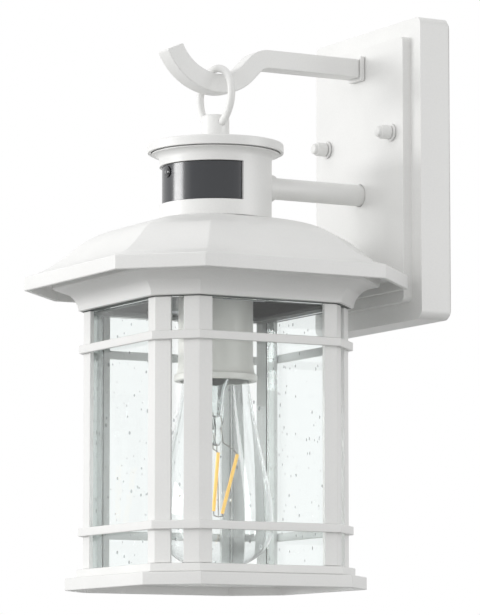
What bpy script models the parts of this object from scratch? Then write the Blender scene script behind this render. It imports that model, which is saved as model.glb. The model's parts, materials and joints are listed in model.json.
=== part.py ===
"""Outdoor wall lantern with a hook arm, a hanging ring and a sensor head.

Run with: blender --background --python part.py
Metres, +Z up, +Y into the wall. The origin is the centre of the mounting
crossbar's rear face, on the wall plane, and the lantern hangs toward -Y.
"""

import math

import bmesh
import bpy
from mathutils import Vector

# General fits
GAP = 0.0003  # between pieces that touch on the real lantern
HOLE_PLAY = 0.0004  # a screw, stud or tube in its hole, on the radius

# Wall side: gasket, backplate, crossbar and their fasteners
PLATE_WIDTH = 0.1206
PLATE_HEIGHT = 0.1773
PLATE_DEPTH = 0.0192
PLATE_WALL = 0.002
PLATE_CORNER = 0.005
PLATE_CENTRE_Z = -0.02255
PANEL_INSET = 0.0107
PANEL_RISE = 0.0056
PANEL_CORNER = 0.003
GASKET_THICK = 0.001
GASKET_INSET = 0.001
GASKET_BAND = 0.006
CROSSBAR_END_ROOM = 0.0093  # from the crossbar's end to the plate's side
CROSSBAR_HEIGHT = 0.016
CROSSBAR_THICK = 0.0025
STUD_SPACING = 0.0741
STUD_RADIUS = 0.0021
CAP_NUT_RADIUS = STUD_RADIUS + 0.002
CAP_NUT_LENGTH = 0.0088
NUT_WASHER_RADIUS = CAP_NUT_RADIUS + 0.0011
NUT_WASHER_THICK = 0.0012
GROUND_SCREW_X = 0.018

# Hook arm, in the plane x = 0
ARM_Z = 0.0428
BAR_WIDTH = 0.0126
BAR_HEIGHT = 0.0111
BOWL_RADIUS = 0.0326  # centre line, from the bowl's bottom out to the tip
BOWL_SWEEP = math.radians(66)
RISE_RADIUS = 0.025  # centre line, from the bowl's bottom up to the hump
RISE_SWEEP = math.radians(46.5)
RISE_STRAIGHT = 0.0072
HUMP_RADIUS = 0.013
ARM_FLANGE_SIZE = 0.0146
ARM_FLANGE_THICK = 0.0028
ARM_SCREW_RADIUS = 0.0024
ARM_SCREW_DEPTH = 0.009

# The tube that carries the sensor head
TUBE_Z = -0.0326
TUBE_RADIUS = 0.00635
TUBE_WALL = 0.0012
TUBE_THREAD = 0.0065  # how far the tube passes through each wall
COLLAR_RADIUS = TUBE_RADIUS + 0.00145
COLLAR_LENGTH = 0.0055
TUBE_NUT_RADIUS = TUBE_RADIUS + 0.00285
TUBE_NUT_THICK = 0.003
LEAD_RADIUS = 0.0025
LEAD_BEND = 0.008

# Sensor head
HOUSING_RADIUS = 0.0326
HOUSING_WALL = 0.0024
HOUSING_FLOOR = 0.0022
HOUSING_BELOW_TUBE = 0.022
HOUSING_HEIGHT = 0.0393
FLARE_RADIUS = HOUSING_RADIUS + 0.0047
FLARE_HEIGHT = 0.0034
FLARE_EDGE = 0.0007
CAP_RADIUS = FLARE_RADIUS + 0.0022
CAP_RIM = 0.0055
CAP_WALL = 0.002
WINDOW_HEIGHT = 0.0225
WINDOW_ABOVE_FLOOR = 0.0089
WINDOW_HALF_ANGLE = math.radians(91)
WINDOW_RECESS = 0.0015
WINDOW_WALL = 0.0014
WINDOW_EDGE_PLAY = 0.0004
PHOTOCELL_RADIUS = 0.003
PHOTOCELL_BELOW_TOP = 0.0042
BOARD_OUT = 0.5  # from the axis, as a share of the window's radius
BOARD_WIDTH = 0.036
BOARD_HEIGHT = 0.024
BOARD_THICK = 0.0016
PIR_RADIUS = 0.0046
PIR_LENGTH = 0.0045
BOSS_RADIUS = 0.0079
BOSS_HEIGHT = 0.0165
BOSS_HOLE_ABOVE_CAP = 0.0118

# Hanging ring
RING_BAR_RADIUS = 0.00225
BOSS_HOLE_RADIUS = RING_BAR_RADIUS + 0.00155
RING_HALF_WIDTH = 0.019
RING_WIDEST = 0.53  # height of the widest place, as a share of the ring
RING_HOOK_PLAY = 0.0016
RING_SAG = 0.0008  # how far the ring's lowest point lies under the hole's centre

# Cage: plan sizes run from the axis to a wide face
CAGE_HEIGHT = 0.1493
CAGE_FACE = 0.0628
CAGE_FLAT = 0.7054 * CAGE_FACE  # half of a wide face's edge
POST_WALL = 0.0026
POST_WIDE_ARM = 0.0082
POST_NARROW_ARM = 0.0094
PANE_THICK = 0.003
PANE_END_PLAY = 0.0017
RAIL_STAND_OUT = 0.0026
RAIL_HEIGHT = 0.0049
LOWER_RAIL_ABOVE_LEDGE = 0.0189
UPPER_RAIL_BELOW_CROWN = 0.0197
LEDGE_STAND_OUT = 0.0035
LEDGE_HEIGHT = 0.0047
LEDGE_INNER = CAGE_FACE - 0.0083
SKIRT_STAND_OUT = 0.0095
SKIRT_HEIGHT = 0.0072
SKIRT_WALL = 0.0025
SKIRT_INNER = CAGE_FACE - 0.0053

# Roof and crown
ROOF_EAVE = CAGE_FACE + 0.0322  # axis to a wide face at the eave
ROOF_TOP = HOUSING_RADIUS + 0.0004
ROOF_TOP_FLAT = 0.5576 * ROOF_TOP  # half of a wide face's edge, at the top
ROOF_RISE = 0.0317
FASCIA_HEIGHT = 0.0081
ROOF_WALL = 0.0022
ROOF_TO_PANEL = 0.0021
CROWN_COVE_RADIUS = 0.0136
CROWN_COVE_BELOW = 0.0012  # the cove's centre, under the crown's lower face
CROWN_DROP = CROWN_COVE_RADIUS - 0.002  # crown's lower face, under the fascia's edge
CROWN_FOOT = CAGE_FACE + 0.0028
CROWN_LIP = 0.0009  # step out and up, above the cove
CROWN_HEAD = CROWN_FOOT + CROWN_COVE_RADIUS + CROWN_LIP
CROWN_WALL = 0.0018
CROWN_UNDER_ROOF = 0.0032  # under the wide faces; the narrow ones come nearer
CROWN_OPENING = CAGE_FACE - 0.0128
CROWN_SCREW_RADIUS = 0.0022
CROWN_SCREW_HEAD = CROWN_SCREW_RADIUS + 0.0006
CROWN_SCREW_LENGTH = 0.006
NIPPLE_RADIUS = 0.0049
NIPPLE_BORE = NIPPLE_RADIUS - 0.0015
NIPPLE_NUT_RADIUS = NIPPLE_RADIUS + 0.0039
NIPPLE_NUT_THICK = 0.003
BRACKET_STEP = 0.028  # axis to where the strap steps down
BRACKET_STEP_RUN = 0.004
BRACKET_RISE = 0.0118
BRACKET_HALF_WIDTH = 0.0132
BRACKET_THICK = 0.002
BRACKET_END_ON_CROWN = 0.008

# Socket and bulb
SOCKET_RADIUS = 0.0212
SOCKET_LENGTH = 0.0555
SOCKET_BORE = SOCKET_RADIUS - 0.006
SOCKET_WIRE_HOLE = 0.003
SOCKET_LIP_RADIUS = SOCKET_RADIUS + 0.0024
SOCKET_LIP_BORE = SOCKET_RADIUS - 0.001
SOCKET_LIP_HEIGHT = 0.004
SOCKET_BORE_DEPTH = 0.034
SHELL_RADIUS = SOCKET_BORE - 0.0006
SHELL_WALL = 0.0006
SHELL_LENGTH = 0.0235
BULB_LENGTH = 0.1084  # glass only, below the socket's lip
BULB_RADIUS = 0.0328
BULB_NECK = SOCKET_LIP_BORE - 0.0015
BULB_WALL = 0.001
BULB_IN_SOCKET = 0.0062
BULB_CAP_RADIUS = SHELL_RADIUS - SHELL_WALL - 0.0007
BULB_CAP_WALL = 0.0006
BULB_THROAT = BULB_CAP_RADIUS - 0.0008
BULB_CAP_LENGTH = 0.0215
CONTACT_RADIUS = 0.0048
CONTACT_LENGTH = 0.0025
STEM_RADIUS = 0.0046
STEM_LENGTH = 0.030
MOUNT_ROD_RADIUS = 0.0012
MOUNT_LENGTH = 0.0795

ROUND = 28  # steps round a large turned piece
SMALL_ROUND = 14  # steps round a screw, nut or stud

# Places that follow from the sizes above
PANEL_FRONT = -(GASKET_THICK + GAP + PLATE_DEPTH + PANEL_RISE)
PANEL_BACK = PANEL_FRONT + PLATE_WALL
AXIS_OUT = ROOF_EAVE + ROOF_TO_PANEL - PANEL_FRONT
HOUSING_BOTTOM = TUBE_Z - HOUSING_BELOW_TUBE
FLARE_TOP = HOUSING_BOTTOM + HOUSING_HEIGHT
CAP_BOTTOM = FLARE_TOP + GAP
CAP_TOP = CAP_BOTTOM + CAP_RIM
CAP_UNDERSIDE = CAP_TOP - CAP_WALL
WINDOW_BOTTOM = HOUSING_BOTTOM + WINDOW_ABOVE_FLOOR
BOSS_BOTTOM = CAP_TOP + GAP
BOSS_TOP = BOSS_BOTTOM + BOSS_HEIGHT
BOSS_HOLE_Z = CAP_TOP + BOSS_HOLE_ABOVE_CAP
ROOF_TOP_Z = HOUSING_BOTTOM - GAP
EAVE_Z = ROOF_TOP_Z - ROOF_RISE
FASCIA_BOTTOM = EAVE_Z - FASCIA_HEIGHT
CROWN_BOTTOM = FASCIA_BOTTOM - CROWN_DROP
CAGE_BOTTOM = CROWN_BOTTOM - CAGE_HEIGHT
SKIRT_BOTTOM = CAGE_BOTTOM - LEDGE_HEIGHT - GAP - SKIRT_HEIGHT
BRACKET_Z = CROWN_BOTTOM + CROWN_WALL + GAP
SOCKET_TOP = BRACKET_Z + BRACKET_RISE
SOCKET_BOTTOM = SOCKET_TOP - SOCKET_LENGTH


# ---------------------------------------------------------------- tools


def clear_scene():
    for obj in list(bpy.data.objects):
        bpy.data.objects.remove(obj, do_unlink=True)


def material(name, colour, roughness, metallic=0.0, alpha=1.0):
    made = bpy.data.materials.new(name)
    made.use_nodes = True
    shader = made.node_tree.nodes["Principled BSDF"]
    shader.inputs["Base Color"].default_value = (*colour, 1.0)
    shader.inputs["Roughness"].default_value = roughness
    shader.inputs["Metallic"].default_value = metallic
    shader.inputs["Alpha"].default_value = alpha
    made.diffuse_color = (*colour, alpha)
    return made


def empty(name, place, parent=None):
    made = bpy.data.objects.new(name, None)
    made.location = place
    made.parent = parent
    bpy.context.scene.collection.objects.link(made)
    return made


def add(name, bm, finish, parent=None, place=(0, 0, 0), turn=(0, 0, 0)):
    """Turns a bmesh into an object, smooth where its faces meet gently."""
    bmesh.ops.recalc_face_normals(bm, faces=bm.faces)
    mesh = bpy.data.meshes.new(name)
    bm.to_mesh(mesh)
    bm.free()
    mesh.shade_smooth()
    mesh.set_sharp_from_angle(angle=math.radians(35))
    mesh.materials.append(finish)
    made = bpy.data.objects.new(name, mesh)
    made.parent = parent
    made.location = place
    made.rotation_euler = turn
    bpy.context.scene.collection.objects.link(made)
    return made


def loft(loops, closed=False):
    """Skins a row of loops with equal point counts, and caps it or joins it round."""
    bm = bmesh.new()
    rows = [[bm.verts.new(point) for point in loop] for loop in loops]
    pairs = list(zip(rows, rows[1:]))
    if closed:
        pairs.append((rows[-1], rows[0]))
    count = len(rows[0])
    for low, high in pairs:
        for i in range(count):
            j = (i + 1) % count
            bm.faces.new((low[i], low[j], high[j], high[i]))
    if not closed:
        bm.faces.new(rows[0])
        bm.faces.new(rows[-1])
    return bm


def spin(profile, steps=SMALL_ROUND):
    """Turns a closed outline of (radius, height) points round the Z axis."""
    bm = bmesh.new()
    points = [bm.verts.new((radius, 0, height)) for radius, height in profile]
    ends = list(zip(points, points[1:] + points[:1]))
    edges = [bm.edges.new(pair) for pair in ends if pair[0].co.x > 1e-7 or pair[1].co.x > 1e-7]
    bmesh.ops.spin(
        bm,
        geom=points + edges,
        cent=(0, 0, 0),
        axis=(0, 0, 1),
        angle=2 * math.pi,
        steps=steps,
        use_merge=True,
    )
    bmesh.ops.remove_doubles(bm, verts=bm.verts, dist=1e-6)
    return bm


def block(low, high):
    """A box between two corners."""
    bm = bmesh.new()
    bmesh.ops.create_cube(bm, size=1)
    low, high = Vector(low), Vector(high)
    for vert in bm.verts:
        vert.co = Vector(low[i] if vert.co[i] < 0 else high[i] for i in range(3))
    return bm


def prism(outline, low, high):
    """Extrudes a plan outline of (x, y) points between two heights."""
    return loft([[(x, y, z) for x, y in outline] for z in (low, high)])


def rounded_rectangle(width, height, corner, steps=4):
    """(x, z) points of a rectangle with round corners, centred on zero."""
    points = []
    for quarter in range(4):
        side_x = (1, -1, -1, 1)[quarter] * (width / 2 - corner)
        side_z = (1, 1, -1, -1)[quarter] * (height / 2 - corner)
        for step in range(steps + 1):
            angle = math.pi / 2 * (quarter + step / steps)
            points.append((side_x + corner * math.cos(angle), side_z + corner * math.sin(angle)))
    return points


def cut(target, cutter):
    """Takes a hidden cutter's shape out of a piece."""
    cutter.hide_render = True
    cutter.display_type = "WIRE"
    modifier = target.modifiers.new("cut_" + cutter.name, "BOOLEAN")
    modifier.operation = "DIFFERENCE"
    modifier.solver = "EXACT"
    modifier.object = cutter


def drill(target, name, radius, place, axis, length, parent=None, steps=SMALL_ROUND):
    """Cuts a round hole along X, Y or Z, centred on a place."""
    turn = {"X": (0, math.pi / 2, 0), "Y": (math.pi / 2, 0, 0), "Z": (0, 0, 0)}[axis]
    half = length / 2
    bm = spin([(0, -half), (radius, -half), (radius, half), (0, half)], steps)
    cut(target, add(name, bm, PLAIN, parent, place, turn))


# Axes along which turned pieces are laid
TOWARD_WALL = (-math.pi / 2, 0, 0)
OUT_OF_WALL = (math.pi / 2, 0, 0)


# ------------------------------------------------------------ materials

PLAIN = material("cutter", (0.5, 0.5, 0.5), 0.5)
WHITE = material("white_paint", (0.80, 0.80, 0.79), 0.42)
GALVANISED = material("zinc_steel", (0.62, 0.63, 0.64), 0.35, 1.0)
BRASS = material("brass", (0.72, 0.55, 0.28), 0.3, 1.0)
FOAM = material("foam_rubber", (0.74, 0.74, 0.73), 0.9)
CLEAR = material("seeded_glass", (0.86, 0.93, 0.92), 0.05, 0.0, 0.35)
BULB_CLEAR = material("bulb_glass", (0.95, 0.97, 0.97), 0.03, 0.0, 0.35)
SMOKED = material("sensor_lens", (0.06, 0.065, 0.07), 0.12)
DARK = material("photocell_lens", (0.015, 0.015, 0.018), 0.15)
BOARD_GREEN = material("circuit_board", (0.02, 0.16, 0.07), 0.4)
GREEN_PAINT = material("ground_green", (0.03, 0.30, 0.10), 0.4)
PHENOLIC = material("socket_phenolic", (0.60, 0.59, 0.52), 0.4)
SHEATH = material("lead_sheath", (0.03, 0.03, 0.03), 0.5)
ALUMINIUM = material("bulb_cap_metal", (0.78, 0.78, 0.77), 0.28, 1.0)
GLOW = material("filament_glass", (0.85, 0.72, 0.42), 0.3)


# ------------------------------------------------------ wall-side pieces


def wall_loop(width, height, corner, y):
    outline = rounded_rectangle(width, height, corner)
    return [(x, y, PLATE_CENTRE_Z + z) for x, z in outline]


def make_gasket():
    width, height = PLATE_WIDTH - 2 * GASKET_INSET, PLATE_HEIGHT - 2 * GASKET_INSET
    outer = (width, height, PLATE_CORNER)
    inner = (width - 2 * GASKET_BAND, height - 2 * GASKET_BAND, PLATE_CORNER / 2)
    loops = [
        wall_loop(*outer, 0),
        wall_loop(*outer, -GASKET_THICK),
        wall_loop(*inner, -GASKET_THICK),
        wall_loop(*inner, 0),
    ]
    add("wall_gasket", loft(loops, closed=True), FOAM)


def make_backplate():
    """A pressed tray with a raised panel, open toward the wall."""
    rear = -(GASKET_THICK + GAP)
    front = rear - PLATE_DEPTH
    panel_width = PLATE_WIDTH - 2 * PANEL_INSET
    panel_height = PLATE_HEIGHT - 2 * PANEL_INSET
    soft = 0.0012  # rounding of the tray's front edge
    wall = 2 * PLATE_WALL
    loops = [
        wall_loop(PLATE_WIDTH, PLATE_HEIGHT, PLATE_CORNER, rear),
        wall_loop(PLATE_WIDTH, PLATE_HEIGHT, PLATE_CORNER, front + soft),
        wall_loop(PLATE_WIDTH - soft, PLATE_HEIGHT - soft, PLATE_CORNER - soft / 2, front),
        wall_loop(panel_width + soft, panel_height + soft, PANEL_CORNER + soft / 2, front),
        wall_loop(panel_width, panel_height, PANEL_CORNER, front - soft),
        wall_loop(panel_width, panel_height, PANEL_CORNER, PANEL_FRONT + soft),
        wall_loop(panel_width - soft, panel_height - soft, PANEL_CORNER - soft / 2, PANEL_FRONT),
        wall_loop(panel_width - wall, panel_height - wall, PANEL_CORNER / 2, PANEL_BACK),
        wall_loop(panel_width - wall, panel_height - wall, PANEL_CORNER / 2, front + PLATE_WALL),
        wall_loop(PLATE_WIDTH - wall, PLATE_HEIGHT - wall, PLATE_CORNER / 2, front + PLATE_WALL),
        wall_loop(PLATE_WIDTH - wall, PLATE_HEIGHT - wall, PLATE_CORNER / 2, rear),
    ]
    bm = bmesh.new()
    rows = [[bm.verts.new(point) for point in loop] for loop in loops]
    count = len(rows[0])
    outside, inside = rows[:7], [*rows[7:], rows[0]]
    for skin in (outside, inside):
        for near, far in zip(skin, skin[1:]):
            for i in range(count):
                j = (i + 1) % count
                bm.faces.new((near[i], near[j], far[j], far[i]))
    bm.faces.new(outside[-1])
    bm.faces.new(inside[0])
    plate = add("backplate", bm, WHITE)
    middle = (PANEL_FRONT + PANEL_BACK) / 2
    through = 4 * PLATE_WALL
    for side, x in (("left", -1), ("right", 1)):
        place = (x * STUD_SPACING / 2, middle, 0)
        drill(plate, "stud_hole_" + side, STUD_RADIUS + HOLE_PLAY, place, "Y", through)
    drill(plate, "arm_screw_hole", ARM_SCREW_RADIUS + HOLE_PLAY, (0, middle, ARM_Z), "Y", through)
    drill(plate, "tube_hole", TUBE_RADIUS + HOLE_PLAY, (0, middle, TUBE_Z), "Y", through)


def make_crossbar():
    half = PLATE_WIDTH / 2 - CROSSBAR_END_ROOM
    ears = CROSSBAR_HEIGHT / 2
    outline = []
    for end, start in ((1, -90), (-1, 90)):
        for step in range(7):
            angle = math.radians(start + 30 * step)
            x = end * (half - ears) + ears * math.cos(angle)
            outline.append((x, ears * math.sin(angle)))
    loops = [[(x, y, z) for x, z in outline] for y in (0, -CROSSBAR_THICK)]
    bar = add("mounting_crossbar", loft(loops), GALVANISED)
    through = 4 * CROSSBAR_THICK
    for side, x in (("left", -1), ("right", 1)):
        place = (x * STUD_SPACING / 2, 0, 0)
        drill(bar, "crossbar_stud_hole_" + side, STUD_RADIUS + HOLE_PLAY, place, "Y", through)
    place = (GROUND_SCREW_X, 0, 0)
    drill(bar, "crossbar_ground_hole", STUD_RADIUS + HOLE_PLAY, place, "Y", through)


def make_studs_and_nuts():
    """Headed studs held by the crossbar, with a washer and a domed nut on the panel."""
    cylinder = CAP_NUT_LENGTH * 0.6
    head_thick = 0.0016
    start = -CROSSBAR_THICK - GAP
    reach = -PANEL_FRONT + NUT_WASHER_THICK + 0.9 * cylinder
    head = 2 * STUD_RADIUS
    washer_face = PANEL_FRONT - GAP
    nut_face = washer_face - NUT_WASHER_THICK - GAP
    stud = [(0, 0), (head, 0), (head, head_thick), (STUD_RADIUS, head_thick)]
    stud += [(STUD_RADIUS, reach + start), (0, reach + start)]
    bore = STUD_RADIUS + HOLE_PLAY
    washer = [(bore, 0), (NUT_WASHER_RADIUS, 0)]
    washer += [(NUT_WASHER_RADIUS, NUT_WASHER_THICK), (bore, NUT_WASHER_THICK)]
    dome = [(bore, 0), (CAP_NUT_RADIUS, 0), (CAP_NUT_RADIUS, cylinder)]
    for step in (1, 2):
        angle = math.radians(30 * step)
        height = cylinder + (CAP_NUT_LENGTH - cylinder) * math.sin(angle)
        dome.append((CAP_NUT_RADIUS * math.cos(angle), height))
    dome += [(0, CAP_NUT_LENGTH), (0, cylinder * 1.33), (bore, cylinder * 1.2)]
    for side, sign in (("left", -1), ("right", 1)):
        x = sign * STUD_SPACING / 2
        add("mounting_stud_" + side, spin(stud), GALVANISED, None, (x, start, 0), OUT_OF_WALL)
        place = (x, washer_face, 0)
        add("nut_washer_" + side, spin(washer, 18), WHITE, None, place, OUT_OF_WALL)
        add("cap_nut_" + side, spin(dome, 18), WHITE, None, (x, nut_face, 0), OUT_OF_WALL)


def screw_outline(radius, head, head_height, length):
    """A pan head above z = 0 and a shank below it."""
    return [
        (0, -length),
        (radius, -length),
        (radius, 0),
        (head, 0),
        (head, head_height * 0.6),
        (head * 0.6, head_height),
        (0, head_height),
    ]


def make_ground_screw():
    outline = screw_outline(STUD_RADIUS, 2 * STUD_RADIUS, 0.0022, CROSSBAR_THICK)
    place = (GROUND_SCREW_X, -CROSSBAR_THICK - GAP, 0)
    add("ground_screw", spin(outline), GREEN_PAINT, None, place, OUT_OF_WALL)


# --------------------------------------------------------------- hook arm


def arm_centre_line():
    """(y, z, tangent angle) stations from the flange out to the tip, and the bowl's bottom."""
    start = PANEL_FRONT - GAP - ARM_FLANGE_THICK - GAP
    bottom_z = (
        ARM_Z
        - (HUMP_RADIUS + RISE_RADIUS) * (1 - math.cos(RISE_SWEEP))
        - RISE_STRAIGHT * math.sin(RISE_SWEEP)
    )
    run = (HUMP_RADIUS + RISE_RADIUS) * math.sin(RISE_SWEEP)
    run += RISE_STRAIGHT * math.cos(RISE_SWEEP)
    bottom_y = -AXIS_OUT
    hump_y = bottom_y + run
    stations = [(start, ARM_Z, 0.0)]
    for step in range(7):
        angle = RISE_SWEEP * step / 6
        y = hump_y - HUMP_RADIUS * math.sin(angle)
        stations.append((y, ARM_Z - HUMP_RADIUS * (1 - math.cos(angle)), angle))
    for step in range(8):
        angle = RISE_SWEEP * (1 - step / 7)
        y = bottom_y + RISE_RADIUS * math.sin(angle)
        stations.append((y, bottom_z + RISE_RADIUS * (1 - math.cos(angle)), angle))
    for step in range(1, 10):
        angle = BOWL_SWEEP * step / 9
        y = bottom_y - BOWL_RADIUS * math.sin(angle)
        stations.append((y, bottom_z + BOWL_RADIUS * (1 - math.cos(angle)), -angle))
    return stations, bottom_z


def make_hook_arm():
    stations, _ = arm_centre_line()
    loops = []
    for y, z, angle in stations:
        normal_y, normal_z = -math.sin(angle), math.cos(angle)
        half = BAR_HEIGHT / 2
        top = (y + normal_y * half, z + normal_z * half)
        low = (y - normal_y * half, z - normal_z * half)
        wide = BAR_WIDTH / 2
        loops.append([(-wide, *top), (wide, *top), (wide, *low), (-wide, *low)])
    arm = add("hook_arm", loft(loops), WHITE)
    drilled = 2 * (ARM_SCREW_DEPTH + 0.001)
    place = (0, stations[0][0], ARM_Z)
    drill(arm, "arm_screw_thread", ARM_SCREW_RADIUS + HOLE_PLAY, place, "Y", drilled)
    half = ARM_FLANGE_SIZE / 2
    rear = PANEL_FRONT - GAP
    low = (-half, rear - ARM_FLANGE_THICK, ARM_Z - half)
    flange = add("hook_flange", block(low, (half, rear, ARM_Z + half)), WHITE)
    place = (0, rear, ARM_Z)
    drill(flange, "flange_hole", ARM_SCREW_RADIUS + HOLE_PLAY, place, "Y", drilled)
    reach = PLATE_WALL + ARM_FLANGE_THICK + 3 * GAP + ARM_SCREW_DEPTH
    outline = screw_outline(ARM_SCREW_RADIUS, 2 * ARM_SCREW_RADIUS, 0.0026, reach)
    place = (0, PANEL_BACK + GAP, ARM_Z)
    add("hook_arm_screw", spin(outline), GALVANISED, None, place, TOWARD_WALL)


# ---------------------------------------------------- tube and its fittings


def ring_outline(inner, outer, length):
    return [(inner, 0), (outer, 0), (outer, length), (inner, length)]


def hexagon_nut(bore, across_corners, thick):
    """A six-sided nut with a round bore, standing on z = 0."""
    steps = 24
    loops = []
    for z, round_bore in ((0, True), (0, False), (thick, False), (thick, True)):
        loop = []
        for step in range(steps):
            angle = 2 * math.pi * step / steps
            from_flat = (angle + math.pi / 6) % (math.pi / 3) - math.pi / 6
            flat_radius = across_corners * math.cos(math.pi / 6) / math.cos(from_flat)
            radius = bore if round_bore else flat_radius
            loop.append((radius * math.cos(angle), radius * math.sin(angle), z))
        loops.append(loop)
    return loft(loops, closed=True)


def make_tube():
    housing_inner = -AXIS_OUT + HOUSING_RADIUS - HOUSING_WALL
    wall_end = PANEL_BACK + TUBE_THREAD
    head_end = housing_inner - TUBE_THREAD
    inner = TUBE_RADIUS - TUBE_WALL
    place = (0, head_end, TUBE_Z)
    tube = spin(ring_outline(inner, TUBE_RADIUS, wall_end - head_end), 20)
    add("support_tube", tube, WHITE, None, place, TOWARD_WALL)
    bore = TUBE_RADIUS + HOLE_PLAY
    nut = (bore, TUBE_NUT_RADIUS, TUBE_NUT_THICK)
    place = (0, PANEL_BACK + GAP, TUBE_Z)
    add("tube_nut_rear", hexagon_nut(*nut), GALVANISED, None, place, TOWARD_WALL)
    # The housing's wall is round, so the nut inside it stands off by the wall's sagitta.
    inside = HOUSING_RADIUS - HOUSING_WALL
    flat = -AXIS_OUT + math.sqrt(inside**2 - TUBE_NUT_RADIUS**2) - 2 * GAP - TUBE_NUT_THICK
    add("tube_nut_front", hexagon_nut(*nut), GALVANISED, None, (0, flat, TUBE_Z), TOWARD_WALL)
    # The collar is scribed to the housing, so it starts inside it and is cut back.
    buried = 0.003
    start = -AXIS_OUT + HOUSING_RADIUS - buried
    collar = ring_outline(bore, COLLAR_RADIUS, COLLAR_LENGTH + buried)
    place = (0, start, TUBE_Z)
    made = add("tube_collar", spin(collar, 20), WHITE, None, place, TOWARD_WALL)
    place, tall = (0, -AXIS_OUT, TUBE_Z), 4 * COLLAR_RADIUS
    drill(made, "collar_scribe", HOUSING_RADIUS + GAP, place, "Z", tall, steps=2 * ROUND)
    make_supply_cable(head_end, wall_end)


def make_supply_cable(head_end, wall_end):
    """A sheathed lead, from behind the panel through the tube to the sensor board."""
    curve = bpy.data.curves.new("supply_cable", "CURVE")
    curve.dimensions = "3D"
    curve.bevel_depth = LEAD_RADIUS
    curve.bevel_resolution = 2
    curve.use_fill_caps = True
    rest = -(TUBE_RADIUS - TUBE_WALL - LEAD_RADIUS - 3 * GAP)
    points = []
    for step in range(7):
        # The bend behind the panel turns the lead up and to the left.
        angle = math.pi / 2 * (1 - step / 6)
        aside = LEAD_BEND * (1 - math.cos(angle))
        points.append((-0.8 * aside, wall_end + LEAD_BEND * math.sin(angle), rest + 0.6 * aside))
    tail = LEAD_BEND + 0.014
    points.insert(0, (-0.8 * tail, wall_end + LEAD_BEND, rest + 0.6 * tail))
    points += [(0, wall_end - 0.012, rest), (0, head_end + 0.012, rest)]
    points += [(0, head_end - 0.0005, rest), (0, head_end - 0.0045, rest - 0.0012)]
    points.append((0, head_end - 0.0075, rest - 0.0035))
    spline = curve.splines.new("POLY")
    spline.points.add(len(points) - 1)
    for target, (x, y, z) in zip(spline.points, points):
        target.co = (x, y, TUBE_Z + z, 1)
    curve.materials.append(SHEATH)
    made = bpy.data.objects.new("supply_cable", curve)
    bpy.context.scene.collection.objects.link(made)


# ------------------------------------------------------------ sensor head


def make_sensor_housing(axis):
    top = CAP_UNDERSIDE - GAP
    inner = HOUSING_RADIUS - HOUSING_WALL
    floor = HOUSING_BOTTOM + HOUSING_FLOOR
    bore = NIPPLE_RADIUS + HOLE_PLAY
    profile = [(bore, HOUSING_BOTTOM), (HOUSING_RADIUS, HOUSING_BOTTOM)]
    for step in range(5):
        angle = math.pi / 2 * step / 4
        radius = HOUSING_RADIUS + (FLARE_RADIUS - HOUSING_RADIUS) * (1 - math.cos(angle))
        profile.append((radius, FLARE_TOP - FLARE_EDGE - FLARE_HEIGHT * (1 - math.sin(angle))))
    profile += [(FLARE_RADIUS, FLARE_TOP), (HOUSING_RADIUS, FLARE_TOP)]
    profile += [(HOUSING_RADIUS, top), (inner, top), (inner, floor), (bore, floor)]
    housing = add("sensor_housing", spin(profile, 2 * ROUND), WHITE, axis)
    window = sector(inner - 0.001, HOUSING_RADIUS + 0.001, WINDOW_HALF_ANGLE, ROUND)
    loops = [[(x, y, z) for x, y in window] for z in (WINDOW_BOTTOM, WINDOW_BOTTOM + WINDOW_HEIGHT)]
    cut(housing, add("window_cutter", loft(loops), PLAIN, axis))
    place = (0, HOUSING_RADIUS - HOUSING_WALL / 2, TUBE_Z)
    through = 4 * HOUSING_WALL
    drill(housing, "housing_tube_hole", TUBE_RADIUS + HOLE_PLAY, place, "Y", through, axis)


def sector(inner, outer, half_angle, steps):
    """Plan outline of a piece of a ring, centred on the -Y direction."""
    angles = [-math.pi / 2 - half_angle + 2 * half_angle * i / steps for i in range(steps + 1)]
    far = [(outer * math.cos(a), outer * math.sin(a)) for a in angles]
    near = [(inner * math.cos(a), inner * math.sin(a)) for a in reversed(angles)]
    return far + near


def make_sensor_parts(axis):
    outer = HOUSING_RADIUS - WINDOW_RECESS
    half_angle = WINDOW_HALF_ANGLE - WINDOW_EDGE_PLAY / outer
    plan = sector(outer - WINDOW_WALL, outer, half_angle, ROUND)
    low = WINDOW_BOTTOM + WINDOW_EDGE_PLAY
    high = WINDOW_BOTTOM + WINDOW_HEIGHT - WINDOW_EDGE_PLAY
    lens = add("sensor_window", prism(plan, low, high), SMOKED, axis)
    eye_z = high - PHOTOCELL_BELOW_TOP
    through = 4 * WINDOW_WALL
    place = (0, -outer, eye_z)
    drill(lens, "photocell_hole", PHOTOCELL_RADIUS + HOLE_PLAY, place, "Y", through, axis)
    behind = 0.0009  # how far the photocell starts behind the window
    proud = behind + WINDOW_WALL + 0.0005
    eye = [(0, 0), (PHOTOCELL_RADIUS, 0), (PHOTOCELL_RADIUS, proud)]
    eye += [(PHOTOCELL_RADIUS * 0.6, proud + 0.0006), (0, proud + 0.0008)]
    place = (0, -(outer - WINDOW_WALL - behind), eye_z)
    add("photocell", spin(eye), DARK, axis, place, OUT_OF_WALL)
    board_y = -outer * BOARD_OUT
    board_z = WINDOW_BOTTOM + WINDOW_HEIGHT / 2
    half = Vector((BOARD_WIDTH / 2, 0, BOARD_HEIGHT / 2))
    low = Vector((0, board_y, board_z)) - half
    high = Vector((0, board_y + BOARD_THICK, board_z)) + half
    add("sensor_board", block(low, high), BOARD_GREEN, axis)
    can = [(0, 0), (PIR_RADIUS, 0), (PIR_RADIUS, PIR_LENGTH), (0, PIR_LENGTH)]
    place = (0, board_y - GAP, board_z)
    add("pir_element", spin(can), GALVANISED, axis, place, OUT_OF_WALL)


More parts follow.
